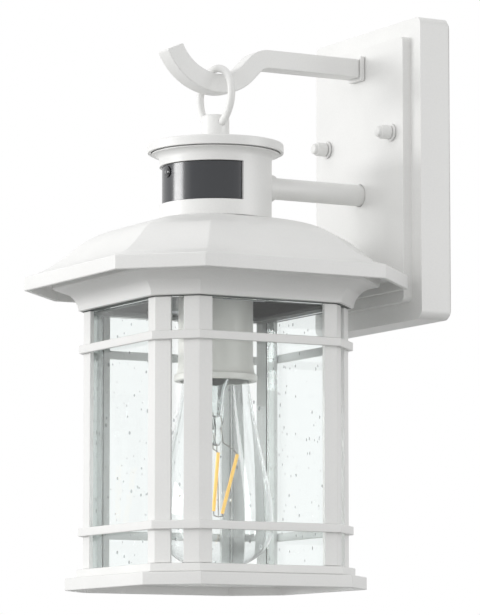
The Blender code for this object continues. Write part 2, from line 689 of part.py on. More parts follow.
def make_cap_and_boss(axis):
    inner = CAP_RADIUS - CAP_WALL
    soft = 0.0006
    profile = [(0, CAP_UNDERSIDE), (inner, CAP_UNDERSIDE), (inner, CAP_BOTTOM)]
    profile += [(CAP_RADIUS, CAP_BOTTOM), (CAP_RADIUS, CAP_TOP - soft)]
    profile += [(CAP_RADIUS - soft, CAP_TOP), (0, CAP_TOP)]
    add("sensor_cap", spin(profile, 2 * ROUND), WHITE, axis)
    profile = [(0, BOSS_BOTTOM), (BOSS_RADIUS * 1.03, BOSS_BOTTOM)]
    profile += [(BOSS_RADIUS, BOSS_TOP - soft), (BOSS_RADIUS - soft, BOSS_TOP), (0, BOSS_TOP)]
    boss = add("ring_boss", spin(profile, ROUND), WHITE, axis)
    place = (0, 0, BOSS_HOLE_Z)
    drill(boss, "ring_hole", BOSS_HOLE_RADIUS, place, "X", 4 * BOSS_RADIUS, axis)


def make_hanging_ring(axis):
    """An egg-shaped ring of round bar, through the boss and over the hook's bowl."""
    pivot = empty("ring_pivot", (0, 0, BOSS_HOLE_Z), axis)
    _, bowl_z = arm_centre_line()
    low = -RING_SAG
    high = bowl_z + BAR_HEIGHT / 2 + RING_HOOK_PLAY + RING_BAR_RADIUS - BOSS_HOLE_Z
    widest = low + (high - low) * RING_WIDEST
    curve = bpy.data.curves.new("hanging_ring", "CURVE")
    curve.dimensions = "3D"
    curve.bevel_depth = RING_BAR_RADIUS
    curve.bevel_resolution = 2
    spline = curve.splines.new("POLY")
    steps = 40
    spline.points.add(steps - 1)
    spline.use_cyclic_u = True
    for i, target in enumerate(spline.points):
        angle = 2 * math.pi * i / steps
        tall = high - widest if math.sin(angle) > 0 else widest - low
        x = RING_HALF_WIDTH * math.cos(angle)
        target.co = (x, 0, widest + tall * math.sin(angle), 1)
    curve.materials.append(WHITE)
    made = bpy.data.objects.new("hanging_ring", curve)
    made.parent = pivot
    bpy.context.scene.collection.objects.link(made)


# --------------------------------------------------- roof, crown and nipple


def octagon(face, z, flat=None):
    """The eight corners of a plan octagon, from the front face's left corner round to the right."""
    if flat is None:
        flat = CAGE_FLAT + (face - CAGE_FACE) * math.tan(math.pi / 8)
    return [
        (-flat, -face, z),
        (flat, -face, z),
        (face, -flat, z),
        (face, flat, z),
        (flat, face, z),
        (-flat, face, z),
        (-face, flat, z),
        (-face, -flat, z),
    ]


def bezier(a, b, c, d, steps):
    """Points along a cubic curve, without its first one."""
    points = []
    for step in range(1, steps + 1):
        t = step / steps
        s = 1 - t
        weights = (s**3, 3 * s * s * t, 3 * s * t * t, t**3)
        points.append(tuple(sum(w * p[i] for w, p in zip(weights, (a, b, c, d))) for i in (0, 1)))
    return points


def roof_profile(inward):
    """(face, height) points of the ogee from the eave to the top, moved inward by a wall."""
    run = ROOF_EAVE - ROOF_TOP
    turn = (ROOF_EAVE - 0.40 * run, EAVE_Z + 0.51 * ROOF_RISE)
    eave = (ROOF_EAVE, EAVE_Z)
    top = (ROOF_TOP, ROOF_TOP_Z)
    flare = bezier(
        eave,
        (ROOF_EAVE - 0.16 * run, EAVE_Z + 0.075 * ROOF_RISE),
        (ROOF_EAVE - 0.28 * run, EAVE_Z + 0.28 * ROOF_RISE),
        turn,
        4,
    )
    shoulder = bezier(
        turn,
        (ROOF_EAVE - 0.52 * run, EAVE_Z + 0.74 * ROOF_RISE),
        (ROOF_EAVE - 0.65 * run, EAVE_Z + 0.86 * ROOF_RISE),
        top,
        4,
    )
    points = [eave, *flare, *shoulder]
    moved = []
    for i, (face, z) in enumerate(points):
        before, after = points[max(i - 1, 0)], points[min(i + 1, len(points) - 1)]
        slope = math.atan2(after[1] - before[1], before[0] - after[0])
        moved.append((face - inward * math.sin(slope), z - inward * math.cos(slope)))
    return moved


def roof_flat(face):
    """Half the length of a wide side, on straight hips between the top and the eave."""
    eave_flat = CAGE_FLAT + (ROOF_EAVE - CAGE_FACE) * math.tan(math.pi / 8)
    share = (face - ROOF_TOP) / (ROOF_EAVE - ROOF_TOP)
    return ROOF_TOP_FLAT + (eave_flat - ROOF_TOP_FLAT) * share


def roof_underside(face):
    """Height of the roof's inner skin over a plan size."""
    points = roof_profile(ROOF_WALL)
    for (far, low), (near, high) in zip(points, points[1:]):
        if far >= face >= near:
            return low + (high - low) * (far - face) / (far - near)
    return FASCIA_BOTTOM


def make_roof(axis):
    inner_eave = ROOF_EAVE - ROOF_WALL
    bore = NIPPLE_RADIUS + 4 * HOLE_PLAY
    outer = [(ROOF_EAVE, FASCIA_BOTTOM), *roof_profile(0)]
    inner = [point for point in roof_profile(ROOF_WALL) if point[0] < inner_eave]
    loops = [octagon(face, z, roof_flat(face)) for face, z in outer]
    loops.append(octagon(bore, ROOF_TOP_Z, bore * math.tan(math.pi / 8)))
    loops.append(octagon(bore, ROOF_TOP_Z - ROOF_WALL, bore * math.tan(math.pi / 8)))
    loops += [octagon(face, z, roof_flat(face)) for face, z in reversed(inner)]
    eave_underside = inner[0][1] - GAP
    loops += [octagon(inner_eave, z, roof_flat(inner_eave)) for z in (eave_underside, FASCIA_BOTTOM)]
    add("roof", loft(loops, closed=True), WHITE, axis)


def make_crown(axis):
    """A coved octagonal collar between the cage and the roof, open in the middle."""
    wall = CROWN_WALL
    top = roof_underside(CROWN_HEAD) - CROWN_UNDER_ROOF
    centre_x = CROWN_FOOT + CROWN_COVE_RADIUS
    centre_z = CROWN_BOTTOM - CROWN_COVE_BELOW
    cove, back = [], []
    for step in range(7):
        angle = math.radians(173 - 83 * step / 6)
        for points, radius in ((cove, CROWN_COVE_RADIUS), (back, CROWN_COVE_RADIUS + wall)):
            x = centre_x + radius * math.cos(angle)
            points.append((x, centre_z + radius * math.sin(angle)))
    step_z = cove[-1][1] + CROWN_LIP
    back = [point for point in reversed(back[:-1]) if point[1] > CROWN_BOTTOM + wall]
    profile = [(CROWN_OPENING, CROWN_BOTTOM), (CROWN_FOOT - 0.001, CROWN_BOTTOM), *cove]
    profile += [(CROWN_HEAD, step_z), (CROWN_HEAD, top), (CROWN_HEAD - wall, top)]
    profile += [(CROWN_HEAD - wall, step_z + wall), *back]
    profile += [(CROWN_FOOT - wall, CROWN_BOTTOM + wall), (CROWN_OPENING, CROWN_BOTTOM + wall)]
    crown = add("crown", loft([octagon(*point) for point in profile], closed=True), WHITE, axis)
    screw_z = step_z + CROWN_SCREW_HEAD
    through = 2 * (CROWN_SCREW_LENGTH + CROWN_WALL)
    outline = screw_outline(CROWN_SCREW_RADIUS, CROWN_SCREW_HEAD, 0.0016, CROWN_SCREW_LENGTH)
    for side, sign in (("left", -1), ("right", 1)):
        bore = CROWN_SCREW_RADIUS + HOLE_PLAY
        place = (sign * CROWN_HEAD, 0, screw_z)
        drill(crown, "crown_hole_" + side, bore, place, "X", through, axis)
        place = (sign * (CROWN_HEAD + GAP), 0, screw_z)
        turn = (0, sign * math.pi / 2, 0)
        screw = add("crown_screw_" + side, spin(outline), WHITE, axis, place, turn)
        wide = 2 * CROWN_SCREW_HEAD
        slot = block((-0.0004, -wide, 0.0009), (0.0004, wide, 0.003))
        cut(screw, add("screw_slot_" + side, slot, PLAIN, axis, place, turn))


def make_nipple(axis):
    """The threaded tube that clamps bracket, roof and housing together, with its two nuts."""
    low = BRACKET_Z + BRACKET_RISE + GAP
    low_nut = ROOF_TOP_Z - ROOF_WALL - GAP - NIPPLE_NUT_THICK
    high_nut = HOUSING_BOTTOM + HOUSING_FLOOR + GAP
    high = high_nut + NIPPLE_NUT_THICK + 0.003
    tube = ring_outline(NIPPLE_BORE, NIPPLE_RADIUS, high - low)
    add("threaded_nipple", spin(tube, 18), BRASS, axis, (0, 0, low))
    nut = (NIPPLE_RADIUS + HOLE_PLAY, NIPPLE_NUT_RADIUS, NIPPLE_NUT_THICK)
    add("nipple_nut_upper", hexagon_nut(*nut), BRASS, axis, (0, 0, high_nut))
    add("nipple_nut_lower", hexagon_nut(*nut), BRASS, axis, (0, 0, low_nut))


def make_socket_bracket(axis):
    """A strap across the crown, raised in the middle, which carries the socket."""
    reach = CROWN_OPENING + BRACKET_END_ON_CROWN
    thick = BRACKET_THICK
    foot, top = BRACKET_Z, SOCKET_TOP + GAP + thick
    step, slope = BRACKET_STEP, BRACKET_STEP_RUN
    over = 0.3 * slope  # keeps the step's wall as thick as the strap
    line = [(-reach, foot), (-step - slope, foot), (-step, top - thick), (step, top - thick)]
    line += [(step + slope, foot), (reach, foot), (reach, foot + thick)]
    line += [(step + slope + over, foot + thick), (step + over, top), (-step - over, top)]
    line += [(-step - slope - over, foot + thick), (-reach, foot + thick)]
    half = BRACKET_HALF_WIDTH
    loops = [[(x, y, z) for x, z in line] for y in (-half, half)]
    strap = add("socket_bracket", loft(loops), GALVANISED, axis)
    place = (0, 0, top)
    drill(strap, "bracket_hole", NIPPLE_RADIUS + HOLE_PLAY, place, "Z", 4 * thick, axis)


# ------------------------------------------------------------------- cage


def make_posts(axis):
    """Eight bent strips, one round each corner of the cage."""
    corners = octagon(CAGE_FACE, 0)
    inner = octagon(CAGE_FACE - POST_WALL, 0)
    names = ("front_left", "front_right", "right_front", "right_rear")
    names += ("rear_right", "rear_left", "left_rear", "left_front")
    low, high = CAGE_BOTTOM + GAP, CROWN_BOTTOM - GAP
    for i, name in enumerate(names):
        corner = Vector(corners[i][:2])
        wide_next = i % 2 == 0  # the wide face runs from this corner to the next one
        toward_next = (Vector(corners[(i + 1) % 8][:2]) - corner).normalized()
        toward_last = (Vector(corners[i - 1][:2]) - corner).normalized()
        next_arm = POST_WIDE_ARM if wide_next else POST_NARROW_ARM
        last_arm = POST_NARROW_ARM if wide_next else POST_WIDE_ARM
        end_next = corner + toward_next * next_arm
        end_last = corner + toward_last * last_arm
        inward_next = Vector((-toward_next.y, toward_next.x)) * POST_WALL
        inward_last = Vector((toward_last.y, -toward_last.x)) * POST_WALL
        outline = [end_last, corner, end_next, end_next + inward_next]
        outline += [Vector(inner[i][:2]), end_last + inward_last]
        add("post_" + name, prism([tuple(p) for p in outline], low, high), WHITE, axis)


def band(face, wall, low, high):
    """A closed octagonal band, its outer faces at the given distance from the axis."""
    inner = face - wall
    return [octagon(face, low), octagon(face, high), octagon(inner, high), octagon(inner, low)]


def make_rails_and_base(axis):
    rail_face = CAGE_FACE + RAIL_STAND_OUT
    rail_wall = RAIL_STAND_OUT - GAP
    low = CAGE_BOTTOM + LOWER_RAIL_ABOVE_LEDGE
    rail = band(rail_face, rail_wall, low, low + RAIL_HEIGHT)
    add("lower_rail", loft(rail, closed=True), WHITE, axis)
    high = CROWN_BOTTOM - UPPER_RAIL_BELOW_CROWN
    rail = band(rail_face, rail_wall, high - RAIL_HEIGHT, high)
    add("upper_rail", loft(rail, closed=True), WHITE, axis)
    ledge_face = CAGE_FACE + LEDGE_STAND_OUT
    low = CAGE_BOTTOM - LEDGE_HEIGHT
    ledge = band(ledge_face, ledge_face - LEDGE_INNER, low, CAGE_BOTTOM)
    add("base_ledge", loft(ledge, closed=True), WHITE, axis)
    face = CAGE_FACE + SKIRT_STAND_OUT
    top = SKIRT_BOTTOM + SKIRT_HEIGHT
    shelf = top - SKIRT_WALL
    profile = [(face, SKIRT_BOTTOM), (face, top), (SKIRT_INNER, top), (SKIRT_INNER, shelf)]
    profile += [(face - SKIRT_WALL, shelf), (face - SKIRT_WALL, SKIRT_BOTTOM)]
    add("base_skirt", loft([octagon(*p) for p in profile], closed=True), WHITE, axis)


def make_panes(axis):
    """Four wide and four narrow panes, standing on the ledge behind the posts."""
    outer_face = CAGE_FACE - POST_WALL - GAP
    low, high = CAGE_BOTTOM + GAP, CROWN_BOTTOM - GAP
    corners = octagon(outer_face, 0)
    sides = ("front", "front_right", "right", "rear_right", "rear", "rear_left", "left", "front_left")
    for i, side in enumerate(sides):
        start, end = Vector(corners[i][:2]), Vector(corners[(i + 1) % 8][:2])
        along = (end - start).normalized()
        inward = Vector((-along.y, along.x)) * PANE_THICK
        start += along * PANE_END_PLAY
        end -= along * PANE_END_PLAY
        outline = [tuple(p) for p in (start, end, end + inward, start + inward)]
        kind = "wide" if i % 2 == 0 else "narrow"
        add(f"pane_{kind}_{side}", prism(outline, low, high), CLEAR, axis)


# -------------------------------------------------------- socket and bulb


def make_socket(axis):
    depth = SOCKET_BOTTOM + SOCKET_BORE_DEPTH
    lip_top = SOCKET_BOTTOM + SOCKET_LIP_HEIGHT
    edge = 0.0009  # the lip's rounded shoulder
    taper, funnel = 0.012, 0.004
    profile = [(SOCKET_LIP_BORE, SOCKET_BOTTOM), (SOCKET_LIP_RADIUS, SOCKET_BOTTOM)]
    profile += [(SOCKET_LIP_RADIUS, lip_top), (SOCKET_RADIUS + edge, lip_top + edge)]
    profile += [(SOCKET_RADIUS, lip_top + taper), (SOCKET_RADIUS, SOCKET_TOP)]
    profile += [(SOCKET_WIRE_HOLE, SOCKET_TOP), (SOCKET_WIRE_HOLE, depth), (SOCKET_BORE, depth)]
    profile += [(SOCKET_BORE, lip_top + funnel), (SOCKET_LIP_BORE, lip_top)]
    add("socket_body", spin(profile, ROUND), PHENOLIC, axis)
    shell = ring_outline(SHELL_RADIUS - SHELL_WALL, SHELL_RADIUS, SHELL_LENGTH)
    place = (0, 0, depth - GAP - SHELL_LENGTH)
    add("socket_shell", spin(shell, ROUND), BRASS, axis, place)


def bulb_profile(inward):
    """(radius, height above the glass's lowest point) of a tapered squirrel-cage bulb."""
    belly = BULB_LENGTH * 0.225
    radius = BULB_RADIUS - inward
    points = []
    for step in range(6):
        angle = math.pi / 2 * step / 5
        points.append((radius * math.sin(angle), inward + (belly - inward) * (1 - math.cos(angle))))
    flank = bezier(
        (radius, belly),
        (radius, belly + 0.026),
        (BULB_NECK + 0.004 - inward, BULB_LENGTH * 0.70),
        (BULB_NECK - inward, BULB_LENGTH),
        7,
    )
    throat = bezier(
        (BULB_NECK - inward, BULB_LENGTH),
        (BULB_NECK - 0.0008 - inward, BULB_LENGTH + 0.0022),
        (BULB_THROAT + 0.0008 - inward, BULB_LENGTH + 0.0035),
        (BULB_THROAT - inward, BULB_LENGTH + BULB_IN_SOCKET),
        3,
    )
    return points + flank + throat


def make_bulb(axis):
    pivot = empty("bulb_axis", (0, 0, SOCKET_BOTTOM - BULB_LENGTH), axis)
    outer, inner = bulb_profile(0), bulb_profile(BULB_WALL)
    glass = spin([*outer, *reversed(inner)], ROUND)
    add("bulb_glass", glass, BULB_CLEAR, pivot)
    cap_low = BULB_LENGTH + BULB_IN_SOCKET + GAP
    cap_high = cap_low + BULB_CAP_LENGTH
    bore = BULB_CAP_RADIUS - BULB_CAP_WALL
    cone, collar = 0.003, CONTACT_RADIUS + GAP
    inside = cap_high - 2 * BULB_CAP_WALL
    profile = [(bore, cap_low), (BULB_CAP_RADIUS, cap_low), (BULB_CAP_RADIUS, cap_high - cone)]
    profile += [(BULB_CAP_RADIUS * 0.72, cap_high), (collar, cap_high), (collar, inside)]
    profile += [(BULB_CAP_RADIUS * 0.68, inside), (bore, cap_high - cone - BULB_CAP_WALL)]
    add("bulb_cap", spin(profile, ROUND), ALUMINIUM, pivot)
    tip = [(0, cap_high - 0.001), (CONTACT_RADIUS, cap_high - 0.001)]
    tip += [(CONTACT_RADIUS, cap_high + CONTACT_LENGTH * 0.4)]
    tip += [(CONTACT_RADIUS * 0.6, cap_high + CONTACT_LENGTH), (0, cap_high + CONTACT_LENGTH)]
    add("bulb_contact", spin(tip), BRASS, pivot)
    stem_low = BULB_LENGTH - STEM_LENGTH
    rod_low = BULB_LENGTH - MOUNT_LENGTH
    flare = BULB_THROAT - BULB_WALL - 2 * GAP
    top = BULB_LENGTH + BULB_IN_SOCKET
    mount = [(0, rod_low), (MOUNT_ROD_RADIUS, rod_low), (MOUNT_ROD_RADIUS, stem_low - 0.002)]
    mount += [(STEM_RADIUS, stem_low + 0.004), (STEM_RADIUS, BULB_LENGTH - 0.006)]
    mount += [(flare, top - 0.001), (flare, top), (0, top)]
    add("filament_mount", spin(mount), GLOW, pivot)


def main():
    clear_scene()
    make_gasket()
    make_backplate()
    make_crossbar()
    make_studs_and_nuts()
    make_ground_screw()
    make_hook_arm()
    make_tube()
    axis = empty("lantern_axis", (0, -AXIS_OUT, 0))
    make_sensor_housing(axis)
    make_sensor_parts(axis)
    make_cap_and_boss(axis)
    make_hanging_ring(axis)
    make_roof(axis)
    make_crown(axis)
    make_nipple(axis)
    make_socket_bracket(axis)
    make_posts(axis)
    make_rails_and_base(axis)
    make_panes(axis)
    make_socket(axis)
    make_bulb(axis)


main()
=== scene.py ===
import json
import math

import bmesh
import bpy
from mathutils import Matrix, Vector


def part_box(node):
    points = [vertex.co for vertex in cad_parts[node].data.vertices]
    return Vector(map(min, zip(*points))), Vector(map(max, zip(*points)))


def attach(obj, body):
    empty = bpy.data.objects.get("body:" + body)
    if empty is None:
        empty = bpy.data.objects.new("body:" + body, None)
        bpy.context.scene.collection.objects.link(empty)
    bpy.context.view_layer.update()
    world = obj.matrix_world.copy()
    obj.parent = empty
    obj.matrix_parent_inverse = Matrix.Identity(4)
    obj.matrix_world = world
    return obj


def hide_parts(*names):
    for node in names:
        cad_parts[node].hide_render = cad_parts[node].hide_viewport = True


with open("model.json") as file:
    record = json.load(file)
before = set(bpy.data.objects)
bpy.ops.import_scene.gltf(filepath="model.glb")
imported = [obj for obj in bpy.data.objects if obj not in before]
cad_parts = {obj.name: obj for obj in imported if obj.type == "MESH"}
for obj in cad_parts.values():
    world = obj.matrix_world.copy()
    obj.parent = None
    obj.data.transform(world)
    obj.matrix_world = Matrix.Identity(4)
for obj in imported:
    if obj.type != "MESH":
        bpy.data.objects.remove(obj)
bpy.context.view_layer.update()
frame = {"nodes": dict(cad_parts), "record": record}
nodes = frame["nodes"]
print("frame loaded,", len(nodes), "pieces")


def lowOf(node):
    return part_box(node)[0]


def highOf(node):
    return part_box(node)[1]


def midOf(node, axis):
    return (lowOf(node)[axis] + highOf(node)[axis]) / 2


def heightsOf(node):
    return lowOf(node).z, highOf(node).z


def depthsOf(node):
    # its rear, towards the wall, and its front
    return highOf(node).y, lowOf(node).y


# lengths are in metres, +Z up, and the wall is at y = 0
axisY = midOf("ring_boss", 1)  # the lantern's upright axis
tubeHeight = midOf("support_tube", 2)
armHeight = midOf("hook_flange", 2)
crownScrewHeight = midOf("crown_screw_right", 2)
gap = 0.0003  # play between pieces that lie against each other
tubeBore, armScrewBore, nutBore = 0.00675, 0.0028, 0.0025
octagonTurn = math.pi / 8  # from the middle of a wide side to its corner
wallBody = "fixture"

studio = {
    "cameraPlace": (1.8474, -1.1324, -0.3503),
    "cameraAzimuth": 60.968,
    "cameraElevation": -6.654,
    "lens": 275.09,
    "aim": (0, axisY, -0.1),
    "floorHeight": -1.5,
    "floorSize": 8,
    "floorColour": (0.84, 0.84, 0.835, 1),
    "floorBounce": (0.42, 0.42, 0.415, 1),  # what the lantern sees of the floor
    "floorRoughness": 0.8,
    # each part of the sky has a span of direction and its brightness at both ends
    "skySide": ((-0.35, 0.55), (1.02, 0.95)),
    "skyUnder": ((-0.7, -0.1), (0.52, 1.0)),
    "skyOver": ((0.25, 0.85), (1.0, 0.80)),
}
# place, size and power of each softbox
softboxes = {
    "key": ((-0.70, -1.59, 0.15), (0.72, 0.28), 9.0),
    "fill": ((-0.52, -1.69, 0.15), (1.4, 0.3), 1.0),
    "side": ((0.75, -1.7, 0.20), (0.6, 0.8), 2.3),
    "edge": ((1.25, 0.95, 0.05), (0.5, 1.2), 10.0),
    "top": ((-0.5, -0.9, 1.5), (1.2, 1.2), 2.0),
}


# shader nodes


def addNode(tree, kind, **values):
    node = tree.nodes.new(kind)
    for label, value in values.items():
        setattr(node, label, value)
    return node


def feed(tree, node, values):
    # links or sets a node's inputs, by name or by number
    for label, value in values.items():
        if isinstance(value, bpy.types.NodeSocket):
            tree.links.new(value, node.inputs[label])
        else:
            node.inputs[label].default_value = value
    return node


def mathNode(tree, operation, *values, clamp=False):
    node = addNode(tree, "ShaderNodeMath", operation=operation, use_clamp=clamp)
    return feed(tree, node, dict(enumerate(values))).outputs[0]


def ramp(tree, value, span, levels):
    node = addNode(tree, "ShaderNodeMapRange", interpolation_type="SMOOTHSTEP")
    labels = ("Value", "From Min", "From Max", "To Min", "To Max")
    return feed(tree, node, dict(zip(labels, (value, *span, *levels)))).outputs["Result"]


def mixValues(tree, share, first, second):
    node = addNode(tree, "ShaderNodeMix", data_type="FLOAT")
    return feed(tree, node, {0: share, 2: first, 3: second}).outputs[0]


def mixColours(tree, share, first, second):
    node = addNode(tree, "ShaderNodeMix", data_type="RGBA")
    return feed(tree, node, {0: share, 6: first, 7: second}).outputs[2]


def mixShaders(tree, share, first, second, output):
    node = feed(tree, addNode(tree, "ShaderNodeMixShader"), {0: share, 1: first, 2: second})
    tree.links.new(node.outputs[0], output.inputs["Surface"])


def noiseNode(tree, place, scale, detail, **values):
    node = addNode(tree, "ShaderNodeTexNoise", noise_dimensions="3D")
    values = {"Vector": place, "Scale": scale, "Detail": detail, **values}
    return feed(tree, node, values).outputs["Fac"]


def objectPlace(tree):
    return addNode(tree, "ShaderNodeTexCoord").outputs["Object"]


def stretched(tree, place, scale):
    node = addNode(tree, "ShaderNodeMapping")
    return feed(tree, node, {"Vector": place, "Scale": scale}).outputs[0]


def newMaterial(name):
    material = bpy.data.materials.new(name)
    material.use_nodes = True
    tree = material.node_tree
    return material, tree, tree.nodes["Principled BSDF"], tree.nodes["Material Output"]


# camera, light and floor


def makeCamera(values):
    bpy.ops.object.camera_add(location=values["cameraPlace"])
    camera = bpy.context.object
    camera.name = "studioCamera"
    tilt = math.radians(90 - values["cameraElevation"])
    camera.rotation_euler = (tilt, 0, math.radians(values["cameraAzimuth"]))
    camera.data.sensor_fit = "HORIZONTAL"
    camera.data.sensor_width = 36
    camera.data.lens = values["lens"]
    camera.data.clip_start, camera.data.clip_end = 0.05, 50
    bpy.context.scene.camera = camera


def makeSoftboxes(boxes, aim):
    for label, (place, size, power) in boxes.items():
        bpy.ops.object.light_add(type="AREA", location=place)
        light = bpy.context.object
        light.name = label + "Softbox"
        light.data.shape = "RECTANGLE"
        light.data.size, light.data.size_y = size
        light.data.energy = power
        way = Vector(aim) - Vector(place)
        light.rotation_euler = way.to_track_quat("-Z", "Y").to_euler()
        light.visible_camera = False
        light.visible_glossy = label != "side"  # this one only lifts the plate
        light.visible_diffuse = label != "edge"  # and this one is only a reflection


def makeFloor(values):
    place = (0, 0, values["floorHeight"])
    bpy.ops.mesh.primitive_plane_add(size=values["floorSize"], location=place)
    floor = bpy.context.object
    floor.name = "studioFloor"
    material, tree, shader, _ = newMaterial("floorPaint")
    seen = addNode(tree, "ShaderNodeLightPath").outputs["Is Camera Ray"]
    colour = mixColours(tree, seen, values["floorBounce"], values["floorColour"])
    feed(tree, shader, {"Base Color": colour, "Roughness": values["floorRoughness"]})
    floor.data.materials.append(material)


def makeSky(values):
    world = bpy.data.worlds.new("studioSky")
    bpy.context.scene.world = world
    world.use_nodes = True
    tree = world.node_tree
    tree.nodes.clear()
    way = addNode(tree, "ShaderNodeSeparateXYZ")
    tree.links.new(addNode(tree, "ShaderNodeTexCoord").outputs["Generated"], way.inputs[0])
    side = ramp(tree, way.outputs["X"], *values["skySide"])
    under = ramp(tree, way.outputs["Z"], *values["skyUnder"])
    over = ramp(tree, way.outputs["Z"], *values["skyOver"])
    strength = mathNode(tree, "MULTIPLY", mathNode(tree, "MULTIPLY", side, under), over)
    white = {"Color": (1, 1, 1, 1)}
    sky = feed(tree, addNode(tree, "ShaderNodeBackground"), {**white, "Strength": strength})
    backdrop = feed(tree, addNode(tree, "ShaderNodeBackground"), white)
    seen = addNode(tree, "ShaderNodeLightPath").outputs["Is Camera Ray"]
    output = addNode(tree, "ShaderNodeOutputWorld")
    mixShaders(tree, seen, sky.outputs[0], backdrop.outputs[0], output)
    bpy.context.scene.view_settings.view_transform = "Standard"


makeCamera(studio)
makeSoftboxes(softboxes, studio["aim"])
makeFloor(studio)
makeSky(studio)
print("studio ready")


# shared node groups


def newGroup(name, inputs, outputs):
    # each input's kind follows from its value: a colour, a vector or a number
    kinds = {4: "NodeSocketColor", 3: "NodeSocketVector", 1: "NodeSocketFloat"}
    group = bpy.data.node_groups.new(name, "ShaderNodeTree")
    for label, value in inputs.items():
        kind = kinds[len(value) if isinstance(value, tuple) else 1]
        socket = group.interface.new_socket(name=label, in_out="INPUT", socket_type=kind)
        socket.default_value = value
    for label in outputs:
        kind = kinds[4 if label == "Colour" else 1]
        group.interface.new_socket(name=label, in_out="OUTPUT", socket_type=kind)
    return group, group.nodes.new("NodeGroupInput").outputs, group.nodes.new("NodeGroupOutput")


def makeFineGrain():
    # fine bumps of a sprayed powder coat, with slight blotches of tone
    group, source, result = newGroup(
        "fineGrain",
        {
            "Colour": (0.8, 0.8, 0.8, 1),
            "Tone Change": 0.03,
            "Grain Scale": 900.0,
            "Roughness": 0.45,
            "Roughness Change": 0.06,
        },
        ("Colour", "Roughness", "Height"),
    )
    coarser, swing = 0.35, 4.0
    place, scale = objectPlace(group), source["Grain Scale"]
    grain = noiseNode(group, place, scale, 3.0, Roughness=0.65)
    peel = noiseNode(group, place, mathNode(group, "MULTIPLY", scale, coarser), 1.0)
    blotch = noiseNode(group, place, 28.0, 2.0)
    # tone moves with the grain and, more slowly, with the blotches
    centred = mathNode(group, "SUBTRACT", mixValues(group, 0.5, grain, blotch), 0.5)
    amount = mathNode(group, "MULTIPLY", source["Tone Change"], swing)
    tone = mathNode(group, "MULTIPLY_ADD", centred, amount, 1.0)
    tint = addNode(group, "ShaderNodeVectorMath", operation="SCALE")
    feed(group, tint, {0: source["Colour"], "Scale": tone})
    amount = mathNode(group, "MULTIPLY", source["Roughness Change"], swing)
    rough = mathNode(group, "MULTIPLY_ADD", centred, amount, source["Roughness"], clamp=True)
    height = mixValues(group, 0.4, grain, peel)
    feed(group, result, {"Colour": tint.outputs[0], "Roughness": rough, "Height": height})
    return group


def makeGlassSeeds():
    # small bubbles and long faint pulls in blown or rolled glass
    group, source, result = newGroup(
        "glassSeeds",
        {
            "Glass Colour": (1.0, 1.0, 1.0, 1),
            "Seed Colour": (0.3, 0.3, 0.3, 1),
            "Seed Scale": 120.0,
            "Seed Size": 0.1,
            "Seed Share": 0.35,
            "Wave Scale": 12.0,
            "Wave Height": 0.5,
        },
        ("Colour", "Height"),
    )
    place = objectPlace(group)
    cells = addNode(group, "ShaderNodeTexVoronoi", feature="F1")
    where = stretched(group, place, (1, 1, 0.55))
    feed(group, cells, {"Vector": where, "Scale": source["Seed Scale"]})
    # only some cells hold a seed, and each seed has its own size
    chance = addNode(group, "ShaderNodeSeparateColor")
    group.links.new(cells.outputs["Color"], chance.inputs[0])
    holds = mathNode(group, "LESS_THAN", chance.outputs[0], source["Seed Share"])
    size = mathNode(group, "MULTIPLY", source["Seed Size"], chance.outputs[1])
    rim = mathNode(group, "MULTIPLY", size, 0.6)
    dome = ramp(group, cells.outputs["Distance"], (rim, size), (1.0, 0.0))
    seed = mathNode(group, "MULTIPLY", dome, holds)
    colour = mixColours(group, seed, source["Glass Colour"], source["Seed Colour"])
    wave = noiseNode(group, stretched(group, place, (1, 1, 0.35)), source["Wave Scale"], 1.5)
    height = mathNode(group, "MULTIPLY_ADD", wave, source["Wave Height"], seed)
    feed(group, result, {"Colour": colour, "Height": height})
    return group


def makeDrawnLines():
    # lines left by drawing, turning or plating, along one axis
    group, source, result = newGroup(
        "drawnLines",
        {
            "Colour": (0.7, 0.7, 0.7, 1),
            "Line Colour": (0.5, 0.5, 0.5, 1),
            "Stretch": (1.0, 1.0, 12.0),
            "Scale": 300.0,
            "Roughness": 0.3,
        },
        ("Colour", "Roughness", "Height"),
    )
    place = objectPlace(group)
    scaled = addNode(group, "ShaderNodeVectorMath", operation="MULTIPLY")
    feed(group, scaled, {0: place, 1: source["Stretch"]})
    lines = noiseNode(group, scaled.outputs[0], source["Scale"], 4.0)
    cloud = noiseNode(group, place, 120.0, 3.0)
    wide = ramp(group, mathNode(group, "MULTIPLY", lines, cloud), (0.12, 0.42), (0.0, 1.0))
    colour = mixColours(group, wide, source["Colour"], source["Line Colour"])
    rough = mathNode(group, "MULTIPLY_ADD", wide, 0.16, source["Roughness"], clamp=True)
    feed(group, result, {"Colour": colour, "Roughness": rough, "Height": lines})
    return group


fineGrain = makeFineGrain()
glassSeeds = makeGlassSeeds()
drawnLines = makeDrawnLines()


# materials


def addBump(tree, shader, height, depth):
    bump = addNode(tree, "ShaderNodeBump")
    feed(tree, bump, {"Strength": 1.0, "Distance": depth, "Height": height})
    tree.links.new(bump.outputs["Normal"], shader.inputs["Normal"])


def solidMaterial(name, group, coat, depth, **shine):
    # an opaque surface with a group's colour, roughness and height
    material, tree, shader, _ = newMaterial(name)
    node = feed(tree, addNode(tree, "ShaderNodeGroup", node_tree=group), coat)
    looks = {"Base Color": node.outputs["Colour"], "Roughness": node.outputs["Roughness"]}
    looks.update({label.replace("_", " "): value for label, value in shine.items()})
    feed(tree, shader, looks)
    addBump(tree, shader, node.outputs["Height"], depth)
    return material


def grainedMaterial(name, colour, roughness, depth, scale, tone, change=0.06, **shine):
    coat = {"Colour": (*colour, 1), "Roughness": roughness, "Grain Scale": scale}
    coat.update({"Tone Change": tone, "Roughness Change": change})
    return solidMaterial(name, fineGrain, coat, depth, **shine)


